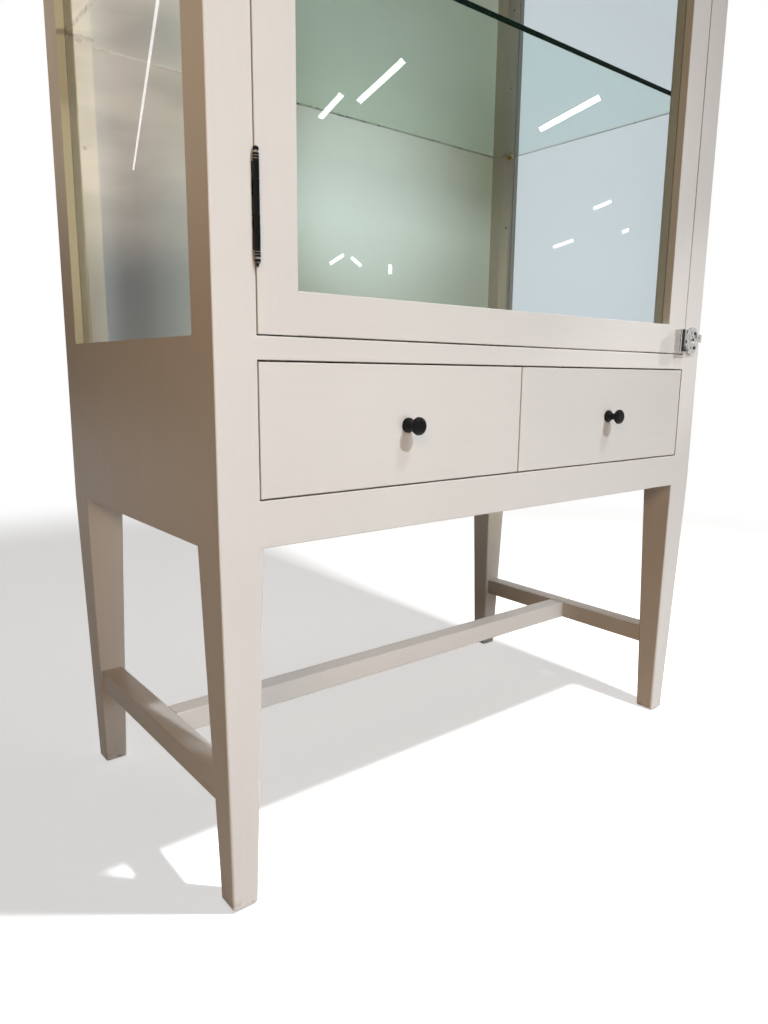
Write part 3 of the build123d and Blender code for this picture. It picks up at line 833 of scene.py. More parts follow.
@dataclass
class ButtHinge:
    """A loose-pin iron butt hinge with a turned finial at each end of its barrel."""

    level: str
    finish: Material
    # the pale material painted in the pin's grooves as highlight lines
    wear_and_highlight: Material
    knuckles: int = 5
    knuckle_gap: float = 0.3 * MM
    rim: float = 0.35 * MM
    leaf: float = 1.5 * MM
    bore: float = 2.2 * MM
    groove: float = 0.6 * MM
    point: float = 3.7 * MM

    def __post_init__(self) -> None:
        """Reads the hinge's place from the frame."""
        pin_low, pin_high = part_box(f"hinge_pin_{self.level}")
        leaf_low, leaf_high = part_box(f"hinge_frame_leaf_{self.level}")
        self.half = (leaf_high.z - leaf_low.z) / 2
        self.axis = (pin_low + pin_high) / 2
        self.axis.z = leaf_low.z + self.half
        self.radius = self.axis.y - leaf_low.y
        self.crown = pin_high.z - self.axis.z
        self.leaf_end = leaf_high.y
        self.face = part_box("drawer_left_front")[0].y

    def build(self) -> None:
        """Makes both leaves and the pin."""
        for name, body, side in (("frame", "carcass", -1), ("door", "door", 1)):
            node = f"hinge_{name}_leaf_{self.level}"
            piece = make(f"{node}_rolled", self.leaf_form(name, side), [self.finish])
            fit(piece, body, [node])
        node = f"hinge_pin_{self.level}"
        pin = make(f"{node}_turned", self.pin(), [self.finish, self.wear_and_highlight])
        fit(pin, "carcass", [node])

    def leaf_form(self, name: str, side: int) -> Form:
        """A leaf with its rolled knuckles.

        Args:
            name: Whose leaf it is, the frame's or the door's.
            side: Where the leaf lies from the barrel, -1 for left and 1 for right.

        Returns:
            The leaf's mesh.
        """
        low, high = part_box(f"hinge_{name}_leaf_{self.level}")
        outer = low.x if side < 0 else high.x
        inner = outer - side * self.leaf
        across = sorted((outer, inner))
        forms = [sawn(rectangle(across, (self.face, self.leaf_end)), low.z, high.z)]
        pitch = 2 * self.half / self.knuckles
        for number in range(0 if side < 0 else 1, self.knuckles, 2):
            start = self.axis.z - self.half + number * pitch + self.knuckle_gap / 2
            forms.append(self.knuckle(across, start, start + pitch - self.knuckle_gap))
        return merged(forms)

    def knuckle(self, across: Sequence[float], low: float, high: float) -> Form:
        """One rolled knuckle, a tube whose outer end is carried into the leaf.

        Args:
            across: The leaf's limits along X.
            low: The knuckle's lower end.
            high: The knuckle's upper end.

        Returns:
            The knuckle's mesh.
        """
        steps = 28
        wall = arc((0.0, 0.0), 1.0, 0, 360 - 360 / steps, steps - 1)
        profile = [(self.bore, low + self.rim), (self.bore + self.rim, low), (self.radius - self.rim, low)]
        profile += [(self.radius, low + self.rim), (self.radius, high - self.rim)]
        profile += [(self.radius - self.rim, high), (self.bore + self.rim, high)]
        profile.append((self.bore, high - self.rim))
        form = bmesh.new()
        rings = [
            [form.verts.new((self.axis.x + r * x, self.axis.y + r * y, z)) for x, y in wall]
            for r, z in profile
        ]
        for first, second in zip(rings, rings[1:] + rings[:1]):
            for step in range(steps):
                after = (step + 1) % steps
                form.faces.new((first[step], first[after], second[after], second[step]))
        neck = rectangle(across, (self.axis.y, self.face))
        return merged([form, sawn(neck, low, high)])

    def pin(self) -> Form:
        """The pin with a finial at each end, the lower one pointed; the grooves take the second, pale
        material, which paints highlight lines round the rings.
        """
        shank = [(self.bore - 0.05 * MM, self.half), (self.bore + 0.6 * MM, self.half)]
        upper = shank + self.finial() + arc((0.0, self.crown - self.radius), self.radius, -37, 82, 12)
        upper.append((0.0, self.crown))
        lower = shank + self.finial() + arc((0.0, self.crown - self.radius), self.radius, -37, 60, 10)
        end = self.crown + self.point
        lower += [(1.7 * MM, self.crown), (0.9 * MM, end - 0.6 * MM), (0.0, end)]
        form = turned([(radius, -level) for radius, level in reversed(lower)] + upper, 32)
        # the pale second material in the groove bottoms is a painted highlight line round each ring
        for face in form.faces:
            middle = face.calc_center_median()
            sunk = self.radius - middle.xy.length
            face.material_index = int(abs(middle.z) > self.half and abs(sunk - self.groove) < 0.12 * MM)
        return placed(form, Matrix.Translation(self.axis))

    def finial(self) -> list[Point]:
        """The three rings and two grooves between the barrel and a finial's ball."""
        ring, groove = self.radius, self.radius - self.groove
        steps = [(ring, 0.1), (ring, 1.9), (groove, 2.1), (groove, 2.8), (ring, 3.0), (ring, 4.8)]
        steps += [(groove, 5.0), (groove, 5.7), (ring, 5.9), (ring, 7.7), (groove, 8.0), (groove, 8.8)]
        return [(radius, self.half + rise * MM) for radius, rise in steps]


@dataclass
class Latch:
    """A nickel turn latch: a plate with a boss and a lever on the post, and a keeper on the door."""

    finish: Material
    rim: float = 0.7 * MM

    def build(self) -> None:
        """Makes the plate, rivet, lever and keeper."""
        for node, form, body, crease in (
            ("latch_plate", self.plate(), "carcass", FLAT),
            ("latch_pivot", self.rivet(), "carcass", ROUND),
            ("latch_lever", self.lever(), "latch", FLAT),
            ("latch_keeper", self.keeper(), "door", FLAT),
        ):
            fit(make(f"{node}_plated", form, [self.finish], crease), body, [node])

    def pivot(self) -> Vector:
        """The middle of the rivet, on the post's face."""
        low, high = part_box("latch_pivot")
        return Vector(((low.x + high.x) / 2, high.y, (low.z + high.z) / 2))

    def plate(self) -> Form:
        """The round-cornered plate with the boss that the lever turns on."""
        low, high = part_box("latch_plate")
        corner = 17.5 * MM
        thickness = 4.5 * MM
        boss = 7.5 * MM
        middle = Vector(((low.x + high.x) / 2, high.y, (low.z + high.z) / 2))
        half_x, half_z = (high.x - low.x) / 2 - corner, (high.z - low.z) / 2 - corner
        turns = ((half_x, half_z, 0), (-half_x, half_z, 90), (-half_x, -half_z, 180), (half_x, -half_z, 270))
        outline = [point for x, y, start in turns for point in arc((x, y), corner, start, start + 90)]
        flat = placed(sawn(outline, 0.0, thickness, self.rim), facing_front(middle))
        rise = high.y - low.y
        profile = [(0.0, thickness / 2), (boss, thickness / 2), (boss, rise - self.rim)]
        profile += [(boss - self.rim, rise), (0.0, rise)]
        return merged([flat, placed(turned(profile), facing_front(self.pivot()))])

    def rivet(self) -> Form:
        """The rivet with its domed head."""
        low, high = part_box("latch_pivot")
        reach = high.y - low.y
        head = (high.x - low.x) / 2
        dome = 2.2 * MM
        shank = 3 * MM
        profile = [(0.0, 0.0), (shank, 0.0), (shank, reach - dome), (head, reach - dome)]
        profile += [(head * share, reach - 0.7 * dome * share ** 2) for share in (1.0, 0.85, 0.65, 0.4, 0.2)]
        return placed(turned(profile + [(0.0, reach)]), facing_front(self.pivot()))

    def lever(self) -> Form:
        """The lever with its round eye and upturned finger tip."""
        low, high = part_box("latch_lever")
        pivot = self.pivot()
        eye = pivot.x - low.x
        half = 3.5 * MM
        tip = high.x - pivot.x - half
        rise = high.z - pivot.z - half
        opening = math.degrees(math.asin(half / eye))
        outline = arc((0.0, 0.0), eye, opening, 360 - opening, 28)
        outline += arc((tip, 0.0), half, -90, 0)
        outline += arc((tip, rise), half, 0, 180)
        outline += [(tip - half, half)]
        back = Vector((pivot.x, high.y, pivot.z))
        return placed(sawn(outline, 0.0, high.y - low.y, self.rim), facing_front(back))

    def keeper(self) -> Form:
        """The pocket that the lever drops into, with a hole and a notch in its front wall."""
        low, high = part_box("latch_keeper")
        wall = 3 * MM
        bend = 4 * MM
        hole = 3.5 * MM
        across = (low.x + high.x) / 2
        screws = (low.z + 17 * MM, low.z + 32.5 * MM)
        bent = arc((low.x + bend, low.y + bend), bend, 180, 270)
        outline = [(high.x, high.y), (low.x, high.y), *bent, (high.x, low.y)]
        pocket = rectangle((low.x + wall, high.x + wall), (low.y + wall, high.y - wall))
        notch = rectangle((across - hole, across + hole), (low.y - wall, low.y + 1.5 * wall))
        cutters = [sawn(pocket, low.z + wall, high.z + wall), sawn(notch, screws[1], high.z + wall)]
        for level in screws:
            bore = turned([(0.0, 0.0), (hole, 0.0), (hole, 2.5 * wall), (0.0, 2.5 * wall)], 24)
            cutters.append(placed(bore, facing_front(Vector((across, low.y + 1.5 * wall, level)))))
        return cut(sawn(outline, low.z, high.z), cutters, 0.5 * MM)


@dataclass(frozen=True)
class Ring:
    """One turned stretch of a small fitting, from its seat outwards, in millimetres."""

    name: str
    low_radius: float
    high_radius: float
    start: float
    height: float


@dataclass
class SmallFittings:
    """Like small fittings that Geometry Nodes set out, one mesh for each body."""

    name: str
    rings: Sequence[Ring]
    finish: Material
    slot: Slot
    facets: int = 24
    slot_length: float = 12.0
    slot_width: float = 0.0
    slot_depth: float = 0.0
    seed: int = 7

    def build(self, node: str, body: str, seats: Sequence[tuple[Vector, Vector]]) -> None:
        """Sets one fitting on each seat.

        Args:
            node: The plain group that the fittings stand for.
            body: The body that carries them.
            seats: Each fitting's place and the way it faces.
        """
        mesh = bpy.data.meshes.new(f"{node}_seats")
        mesh.from_pydata([place for place, _ in seats], [], [])
        facing = mesh.attributes.new("facing", "FLOAT_VECTOR", "POINT")
        facing.data.foreach_set("vector", [value for _, way in seats for value in way])
        seat_object = add_object(f"{node}_seats", mesh)
        tree = self.tree()
        modifier = seat_object.modifiers.new(self.name, "NODES")
        modifier.node_group = tree
        sizes = self.sizes()
        for item in tree.interface.items_tree:
            if item.in_out == "INPUT" and item.name in sizes:
                modifier[item.identifier] = sizes[item.name]
        evaluated = seat_object.evaluated_get(bpy.context.evaluated_depsgraph_get())
        solid = bpy.data.meshes.new_from_object(evaluated)
        solid.name = f"{node}_set"
        solid.shade_smooth()
        solid.set_sharp_from_angle(angle=math.radians(ROUND))
        seat_object.modifiers.remove(modifier)
        bpy.data.objects.remove(seat_object)
        fit(add_object(f"{node}_set", solid), body, [node])

    def sizes(self) -> dict[str, object]:
        """The named inputs and their values."""
        values: dict[str, object] = {"Finish": self.finish, "Seed": self.seed}
        values.update({"Slot Width": self.slot_width, "Slot Depth": self.slot_depth})
        for ring in self.rings:
            values[f"{ring.name} Low Radius"] = ring.low_radius
            values[f"{ring.name} High Radius"] = ring.high_radius
            values[f"{ring.name} Height"] = ring.height
        return values

    def tree(self) -> bpy.types.GeometryNodeTree:
        """The node tree that turns one fitting and sets it on every seat."""
        tree = bpy.data.node_groups.new(self.name, "GeometryNodeTree")
        tree.interface.new_socket("Geometry", in_out="INPUT", socket_type="NodeSocketGeometry")
        tree.interface.new_socket("Geometry", in_out="OUTPUT", socket_type="NodeSocketGeometry")
        kinds = {Material: "NodeSocketMaterial", int: "NodeSocketInt", float: "NodeSocketFloat"}
        for name, value in self.sizes().items():
            tree.interface.new_socket(name, in_out="INPUT", socket_type=kinds[type(value)])
        given = tree.nodes.new("NodeGroupInput").outputs

        def node(kind: str, inputs: dict, **settings: object) -> bpy.types.Node:
            """Adds a node with its inputs and properties."""
            made = tree.nodes.new(kind)
            for name, value in settings.items():
                setattr(made, name, value)
            for key, value in inputs.items():
                if isinstance(value, bpy.types.NodeSocket):
                    tree.links.new(value, made.inputs[key])
                else:
                    made.inputs[key].default_value = value
            return made

        turnings = []
        for ring in self.rings:
            sizes = {"Radius Bottom": given[f"{ring.name} Low Radius"], "Depth": given[f"{ring.name} Height"]}
            sizes |= {"Radius Top": given[f"{ring.name} High Radius"], "Vertices": self.facets}
            cone = node("GeometryNodeMeshCone", sizes)
            lift = {"Geometry": cone.outputs["Mesh"], "Translation": (0.0, 0.0, ring.start)}
            turnings.append(node("GeometryNodeTransform", lift).outputs[0])
        shape = turnings[0]
        if len(turnings) > 1:
            union = node("GeometryNodeMeshBoolean", {}, operation="UNION")
            for turning in turnings:
                tree.links.new(turning, union.inputs["Mesh 2"])
            shape = union.outputs[0]
        if self.slot_depth:
            slot = {0: self.slot_length, 1: given["Slot Width"], 2: given["Slot Depth"]}
            across = node("ShaderNodeCombineXYZ", slot)
            cutter = node("GeometryNodeMeshCube", {"Size": across.outputs[0]})
            cut = node("GeometryNodeMeshBoolean", {"Mesh 1": shape}, operation="DIFFERENCE")
            tree.links.new(cutter.outputs["Mesh"], cut.inputs["Mesh 2"])
            shape = cut.outputs[0]
        way = node("GeometryNodeInputNamedAttribute", {"Name": "facing"}, data_type="FLOAT_VECTOR")
        stand = node("FunctionNodeAlignRotationToVector", {"Vector": way.outputs[0]}, axis="Z")
        draw = {"Max": 2 * math.pi, "Seed": given["Seed"]}
        chance = node("FunctionNodeRandomValue", draw, data_type="FLOAT")
        angle = next(output for output in chance.outputs if output.enabled)
        spin = node("FunctionNodeAxisAngleToRotation", {"Axis": (0.0, 0.0, 1.0), "Angle": angle})
        both = {"Rotation": stand.outputs[0], "Rotate By": spin.outputs[0]}
        turn = node("FunctionNodeRotateRotation", both, rotation_space="LOCAL")
        setting = {"Points": given["Geometry"], "Instance": shape, "Rotation": turn.outputs[0]}
        setting["Scale"] = (MM, MM, MM)
        spread = node("GeometryNodeInstanceOnPoints", setting)
        real = node("GeometryNodeRealizeInstances", {0: spread.outputs[0]})
        finished = node("GeometryNodeSetMaterial", {"Geometry": real.outputs[0], "Material": given["Finish"]})
        node("NodeGroupOutput", {0: finished.outputs[0]})
        return tree


@dataclass
class Fixings:
    """The slotted screws, the shelf pins and the glides under the feet, in millimetres."""

    screw_head: float = 3.2
    screw_shank: float = 1.7
    screw_length: float = 18.0
    head_height: float = 1.5
    pin: float = 3.0
    pin_depth: float = 10.0
    pin_reach: float = 12.0
    collar: float = 5.0
    collar_height: float = 2.0

    def build(self) -> None:
        """Sets out every screw, pin and glide."""
        self.screws()
        self.pins()
        self.glides()

    def screws(self) -> None:
        """Screws in the hinge leaves, the latch plate and the keeper."""
        rise, length = self.head_height, self.screw_length
        rings = (
            Ring("Head", self.screw_head, self.screw_head * 0.94, -rise, rise * 0.6),
            Ring("Dome", self.screw_head * 0.94, self.screw_head * 0.7, -rise * 0.4, rise * 0.4),
            Ring("Shank", self.screw_shank * 0.3, self.screw_shank, -rise - length, length),
        )
        steel = STEEL.material()
        fittings = SmallFittings("slotted_screws", rings, steel, Slot.STEEL, slot_width=0.9, slot_depth=1.3)
        for node, body in (("frame_screws", "carcass"), ("door_screws", "door")):
            fittings.build(node, body, [self.screw_seat(corners) for corners in islands(node)])

    def screw_seat(self, corners: Sequence[Vector]) -> tuple[Vector, Vector]:
        """Where a screw's head ends and which way it faces.

        Args:
            corners: The plain screw's corners.

        Returns:
            The middle of its head's outer face, and the way that it faces.
        """
        middle = middle_of(corners)
        spans = [max(abs(corner[axis] - middle[axis]) for corner in corners) for axis in range(3)]
        axis = spans.index(max(spans))
        sideways = [other for other in range(3) if other != axis]
        widest = max(corners, key=lambda corner: sum((corner[a] - middle[a]) ** 2 for a in sideways))
        facing = Vector((0.0, 0.0, 0.0))
        facing[axis] = math.copysign(1.0, widest[axis] - middle[axis])
        return middle + facing * spans[axis], facing

    def pins(self) -> None:
        """Brass pins that face into the cabinet from the front and rear posts."""
        rings = (
            Ring("Collar", self.collar, self.collar * 0.86, 0.0, self.collar_height),
            Ring("Peg", self.pin, self.pin, -self.pin_depth, self.pin_depth + self.pin_reach - 1.0),
            Ring("Tip", self.pin, self.pin * 0.6, self.pin_reach - 1.0, 1.0),
        )
        seats = []
        for corners in islands("shelf_pins"):
            middle = middle_of(corners)
            facing = Vector((0.0, 1.0 if middle.y < 0 else -1.0, 0.0))
            seats.append((middle - facing * (self.pin_reach - self.pin_depth) / 2 * MM, facing))
        SmallFittings("shelf_pegs", rings, BRASS.material(), Slot.BRASS).build("shelf_pins", "carcass", seats)

    def glides(self) -> None:
        """Round glides that stand on the floor under the legs."""
        low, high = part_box("foot_glides")
        height = (high.z - low.z) / MM
        corners = islands("foot_glides")
        radius = (max(corner.x for corner in corners[0]) - middle_of(corners[0]).x) / MM
        rings = (
            Ring("Sole", radius * 0.88, radius, 0.0, height * 0.4),
            Ring("Rim", radius, radius * 0.96, height * 0.4, height * 0.6),
        )
        seats = [(Vector((*middle_of(group).xy, low.z)), Vector((0.0, 0.0, 1.0))) for group in corners]
        fittings = SmallFittings("foot_glides", rings, Nylon().material(), Slot.NYLON, facets=32)
        fittings.build("foot_glides", "carcass", seats)


@dataclass
class Drawer:
    """A drawer with a painted front on a bare wooden box, and its knob."""

    side: str
    paint: Material
    wood: Material
    cross_wood: Material
    iron: Material

    def build(self) -> None:
        """Dresses the front and the box and sets the knob."""
        stem = f"drawer_{self.side}"
        dress(self.paint, [f"{stem}_front"])
        dress(self.wood, [f"{stem}_side_left", f"{stem}_side_right"])
        dress(self.cross_wood, [f"{stem}_back", f"{stem}_bottom"])
        Knob(self.side, self.iron).build()


class Lit(Enum):
    """What a lamp lights: all but some pieces, or some pieces alone."""

    OBJECT = ("EXCLUDE", "floor", "back_panel")
    FLOOR = ("INCLUDE", "floor")
    BACK = ("INCLUDE", "back_panel")
    LEFT_POST = ("INCLUDE", "post_rear_left")
    RIGHT_POST = ("INCLUDE", "post_rear_right")
    REAR = (
        "INCLUDE", "back_panel", "post_rear_left", "post_rear_right", "rear_apron", "rear_top_rail",
        "top_board", "long_stretcher", "side_stretcher_left", "side_stretcher_right",
    )
    RIGHT = ("EXCLUDE", "floor", "back_panel", "long_stretcher", "side_stretcher_left")
    LATCH_SIDE = ("INCLUDE", "door_rail_bottom", "door_stile_right", "middle_rail", "post_front_right")


@dataclass(frozen=True)
class Lamp:
    """A soft rectangular lamp that faces a point of the object."""

    name: str
    place: Place
    size: Point
    level: float
    colour: Place = (1.0, 1.0, 1.0)
    target: Place = (0.0, 0.0, 0.8)
    lit: Lit = Lit.OBJECT
    mirrored: bool = True

    def build(self, floor: bpy.types.Object) -> None:
        """Hangs the lamp, with the power that gives its level at its target.

        Args:
            floor: The floor, which the lamp lights alone or leaves out.
        """
        way = Vector(self.target) - Vector(self.place)
        data = bpy.data.lights.new(self.name, "AREA")
        data.shape = "RECTANGLE"
        data.size, data.size_y = self.size
        data.energy = self.level * math.pi ** 2 * way.length_squared
        data.color = self.colour
        turn = way.to_track_quat("-Z", "Y").to_matrix().to_4x4()
        hang(data, Matrix.Translation(self.place) @ turn, floor, self.lit, self.mirrored)


@dataclass(frozen=True)
class SpotLamp:
    """A small lamp with a narrow beam, whose shadows may be left to some pieces alone."""

    name: str
    place: Place
    target: Place
    level: float
    beam: float
    blend: float = 0.4
    size: float = 0.12
    colour: Place = (1.0, 1.0, 1.0)
    lit: Lit = Lit.OBJECT
    shadows: tuple[str, ...] = ()

    def build(self, floor: bpy.types.Object) -> None:
        """Hangs the lamp, with the power that gives its level at its target.

        Args:
            floor: The floor, which the lamp leaves out.
        """
        way = Vector(self.target) - Vector(self.place)
        data = bpy.data.lights.new(self.name, "SPOT")
        data.energy = self.level * 4 * math.pi ** 2 * way.length_squared
        data.color = self.colour
        data.spot_size = math.radians(self.beam)
        data.spot_blend = self.blend
        data.shadow_soft_size = self.size
        turn = way.to_track_quat("-Z", "Y").to_matrix().to_4x4()
        lamp = hang(data, Matrix.Translation(self.place) @ turn, floor, self.lit, mirrored=False)
        if self.shadows:
            blockers = bpy.data.collections.new(f"{self.name}_shadows")
            for name in self.shadows:
                blockers.objects.link(bpy.data.objects[name])
            lamp.light_linking.blocker_collection = blockers


@dataclass(frozen=True)
class TubeLamp:
    """A long ceiling tube, seen as a bright streak where glass mirrors it."""

    name: str
    start: Place
    end: Place
    width: float = 0.05
    radiance: float = 10.0

    def build(self, floor: bpy.types.Object) -> None:
        """Hangs the tube with its length from start to end, facing the object.

        Args:
            floor: The floor, which the tube leaves out.
        """
        start, end = Vector(self.start), Vector(self.end)
        along = (end - start).normalized()
        middle = (start + end) / 2
        across = middle.normalized().cross(along).normalized()
        out = along.cross(across)
        data = bpy.data.lights.new(self.name, "AREA")
        data.shape = "RECTANGLE"
        data.size, data.size_y = (end - start).length, self.width
        data.energy = self.radiance * math.pi * data.size * data.size_y
        turn = Matrix((along, across, out)).transposed().to_4x4()
        hang(data, Matrix.Translation(middle) @ turn, floor, Lit.OBJECT, mirrored=True)


def hang(
    data: bpy.types.Light, place: Matrix, floor: bpy.types.Object, lit: Lit, mirrored: bool
) -> bpy.types.Object:
    """Puts a lamp in the scene and says what it lights.

    Args:
        data: The lamp.
        place: Its place and turn.
        floor: The floor.
        lit: What the lamp lights.
        mirrored: Whether glass and metal show the lamp.

    Returns:
        The lamp's object.
    """
    lamp = bpy.data.objects.new(data.name, data)
    lamp.matrix_world = place
    lamp.visible_camera = False
    lamp.visible_glossy = lamp.visible_transmission = mirrored
    bpy.context.scene.collection.objects.link(lamp)
    state, *names = lit.value
    receivers = bpy.data.collections.new(f"{data.name}_lights")
    for name in names:
        receivers.objects.link(floor if name == "floor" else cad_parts[name])
    for member in receivers.collection_objects:
        member.light_linking.link_state = state
    lamp.light_linking.receiver_collection = receivers
    return lamp


@dataclass
class Studio:
    """A plain pale floor, soft lamps and the camera."""

    floor_reach: float = 14.0
    floor_colour: Colour = (0.8, 0.8, 0.8, 1.0)
    bounce_colour: Colour = (0.22, 0.152, 0.09, 1.0)
    floor_lift: float = 0.61
    shadow_reach: Point = (2.0, 3.0)
    surround: Colour = (0.05, 0.04, 0.03, 1.0)
    lamp_colour: Place = (0.895, 0.975, 1.045)
    fill_colour: Place = (1.0, 0.68, 0.41)
    rear_colour: Place = (1.0, 0.96, 0.91)
    back_colour: Place = (0.84, 1.0, 1.06)
    post_colour: Place = (1.0, 0.93, 0.7)
    wall_reach: float = 11.0
    wall_height: float = 10.0
    camera_place: Place = (-0.8676, -0.9987, 0.6744)
    camera_yaw: float = math.radians(38.922)
    camera_pitch: float = math.radians(-10.580)
    camera_roll: float = math.radians(0.631)
    focal_pixels: float = 743.07
    picture_height: float = 1024.0
    sensor: float = 36.0

    def lamps(self) -> list[Lamp | SpotLamp | TubeLamp]:
        """The key lamp in front, softer lamps round it, and the tubes that glass mirrors.

        Returns:
            The lamps, in the order that they are hung.
        """
        return [
            Lamp("floor_lamp", (0.46, -1.04, 2.45), (0.1, 0.1), 1.3, target=(0.0, 0.3, 0.0), lit=Lit.FLOOR),
            SpotLamp(
                "key_lamp", (0.3, -5.0, 5.2), (-0.35, -0.25, -0.3), 0.55, 30.0, 1.0, 0.14, self.lamp_colour
            ),
            Lamp("top_bank", (1.2, -3.9, 7.6), (1.0, 1.0), 0.3, self.lamp_colour, (0.0, -0.2, 0.6)),
            SpotLamp(
                "side_lamp", (6.47, -1.88, 3.88), (0.42, -0.25, 0.73), 0.75, 3.4, 1.0, 0.02,
                lit=Lit.LATCH_SIDE,
                shadows=("latch_plate_plated", "latch_lever_plated", "latch_keeper_plated"),
            ),
            SpotLamp(
                "back_lamp", (-0.02, -0.2, 1.03), (0.1, 0.25, 1.03), 0.78, 75.0, 1.0, 0.02,
                self.back_colour, Lit.BACK,
            ),
            Lamp(
                "back_fill", (-0.9, -4.0, 2.2), (0.8, 0.8), 0.95,
                self.back_colour, (0.0, 0.25, 1.0), Lit.BACK, mirrored=False,
            ),
            SpotLamp(
                "left_post_lamp", (2.0, -3.2, 1.8), (-0.47, 0.22, 1.05), 0.9, 14.0, 1.0,
                colour=self.post_colour, lit=Lit.LEFT_POST,
            ),
            SpotLamp(
                "right_post_lamp", (-0.3, -3.2, 1.0), (0.45, 0.22, 0.65), 0.4, 17.0, 1.0,
                colour=self.post_colour, lit=Lit.RIGHT_POST,
            ),
            Lamp(
                "low_bank", (0.1, -3.0, 0.5), (1.4, 0.5), 0.3, self.lamp_colour, (-0.4, -0.2, 0.3),
                mirrored=False,
            ),
            Lamp(
                "left_fill", (-1.6, -1.5, 1.5), (0.6, 0.6), 0.36, self.fill_colour, (-0.5, -0.2, 0.7),
                mirrored=False,
            ),
            Lamp("over_bank", (0.5, 0.5, 6.0), (2.0, 2.0), 0.07, self.lamp_colour),
            Lamp(
                "rear_bank", (0.6, 6.0, 0.9), (2.0, 1.0), 0.65, self.rear_colour,
                lit=Lit.REAR, mirrored=False,
            ),
            Lamp(
                "right_bank", (6.0, 1.2, 1.4), (1.6, 1.6), 0.5, self.rear_colour,
                lit=Lit.RIGHT, mirrored=False,
            ),
            TubeLamp("tube_near", (3.35, -5.11, 3.0), (3.08, -4.18, 3.0)),
            TubeLamp("tube_far", (3.33, -5.68, 3.0), (3.13, -5.05, 3.0)),
            TubeLamp("tube_right", (5.13, -4.57, 3.0), (4.84, -3.68, 3.0)),
            TubeLamp("tube_behind", (-2.26, 4.02, 3.0), (-3.65, 8.17, 3.0), width=0.02, radiance=2.0),
            TubeLamp("glint_1", (3.05, -5.12, 1.62), (3.15, -5.05, 1.7), width=0.03),
            TubeLamp("glint_2", (3.21, -5.02, 1.68), (3.29, -4.98, 1.61), width=0.03),
            TubeLamp("glint_3", (3.51, -4.84, 1.63), (3.52, -4.85, 1.55), width=0.03),
            TubeLamp("glint_4", (4.9, -3.72, 2.12), (5.01, -3.62, 2.18), width=0.03, radiance=6.0),
            TubeLamp("glint_5", (4.68, -3.97, 1.8), (4.81, -3.85, 1.86), width=0.03, radiance=5.0),
            TubeLamp("glint_6", (5.13, -3.57, 1.93), (5.17, -3.53, 1.95), width=0.03, radiance=6.0),
        ]

    def build(self) -> None:
        """Lays the floor, hangs the lamps and sets the camera."""
        self.world()
        floor = self.floor()
        for lamp in self.lamps():
            lamp.build(floor)
        self.wall("rear_wall", 80, 215, self.brown_room())
        self.wall("front_wall", 255, 329.6, self.dark_room(), within_glass=True)
        self.camera()
        bpy.context.scene.view_settings.view_transform = "Standard"

    def world(self) -> None:
        """A white surround for what is seen, and a dimmer warm one for the light that it gives."""
        world = bpy.data.worlds.new("studio_surround")
        bpy.context.scene.world = world
        world.use_nodes = True
        tree = world.node_tree
        light = tree.nodes["Background"]
        light.inputs["Color"].default_value = self.surround
        white = tree.nodes.new("ShaderNodeBackground")
        white.inputs["Color"].default_value = (1.0, 1.0, 1.0, 1.0)
        mix = tree.nodes.new("ShaderNodeMixShader")
        tree.links.new(seen_directly(tree), mix.inputs[0])
        tree.links.new(light.outputs[0], mix.inputs[1])
        tree.links.new(white.outputs[0], mix.inputs[2])
        tree.links.new(mix.outputs[0], tree.nodes["World Output"].inputs["Surface"])

    def floor(self) -> bpy.types.Object:
        """A wide floor that keeps the object's shadow and goes white towards its edge."""
        form = bmesh.new()
        reach = self.floor_reach
        corners = [(-reach, -reach, 0.0), (reach, -reach, 0.0), (reach, reach, 0.0), (-reach, reach, 0.0)]
        form.faces.new([form.verts.new(corner) for corner in corners])
        sketch = NodeSketch("studio_floor")
        tree = sketch.tree
        tree.nodes.remove(sketch.shader)
        bounce = sketch.add("ShaderNodeBsdfDiffuse", {"Color": self.bounce_colour})
        shown = sketch.add("ShaderNodeBsdfDiffuse", {"Color": self.floor_colour})
        lift = sketch.add("ShaderNodeEmission", {"Strength": self.floor_lift})
        lifted = sketch.add("ShaderNodeAddShader", {0: shown.outputs[0], 1: lift.outputs[0]})
        white = sketch.add("ShaderNodeEmission", {"Strength": 1.0})
        away = sketch.add("ShaderNodeVectorMath", {0: sketch.place}, operation="LENGTH")
        far = sketch.ramp(away.outputs["Value"], *self.shadow_reach)
        near = sketch.add("ShaderNodeMixShader", {0: far, 1: lifted.outputs[0], 2: white.outputs[0]})
        shaders = {0: seen_directly(tree), 1: bounce.outputs[0], 2: near.outputs[0]}
        mix = sketch.add("ShaderNodeMixShader", shaders)
        sketch.feed(sketch.output.inputs["Surface"], mix.outputs[0])
        floor = make("floor", form, [sketch.material])
        return floor

    def wall(
        self, name: str, start: float, end: float, finish: Material, within_glass: bool = False
    ) -> None:
        """Stands a curved wall round the object, which only reflections show.

        Args:
            name: The wall's name.
            start: The angle that it starts at, in degrees from the right.
            end: The angle that it ends at.
            finish: Its material.
            within_glass: Whether it also shows in the inner faces of the panes.
        """
        form = bmesh.new()
        around = arc((0.0, 0.0), self.wall_reach, start, end, 24)
        low, high = [[form.verts.new((x, y, level)) for x, y in around] for level in (0.0, self.wall_height)]
        for step in range(len(around) - 1):
            form.faces.new((low[step], low[step + 1], high[step + 1], high[step]))
        wall = make(name, form, [finish])
        wall.visible_camera = wall.visible_diffuse = wall.visible_shadow = False
        wall.visible_transmission = within_glass

    def brown_room(self) -> Material:
        """A dim brown room with paler bands, dark near the floor."""
        sketch = NodeSketch("brown_room")
        cloud = sketch.ramp(sketch.noise(0.6, (1, 1, 3), detail=4), 0.3, 0.7)
        tone = sketch.blend(cloud, (1.3, 1.08, 0.84, 1.0), (2.1, 1.78, 1.4, 1.0))
        tone = sketch.blend(sketch.ramp(sketch.height(), 1.8, 3.6), (0.06, 0.045, 0.035, 1.0), tone)
        return self.glowing(sketch, tone)

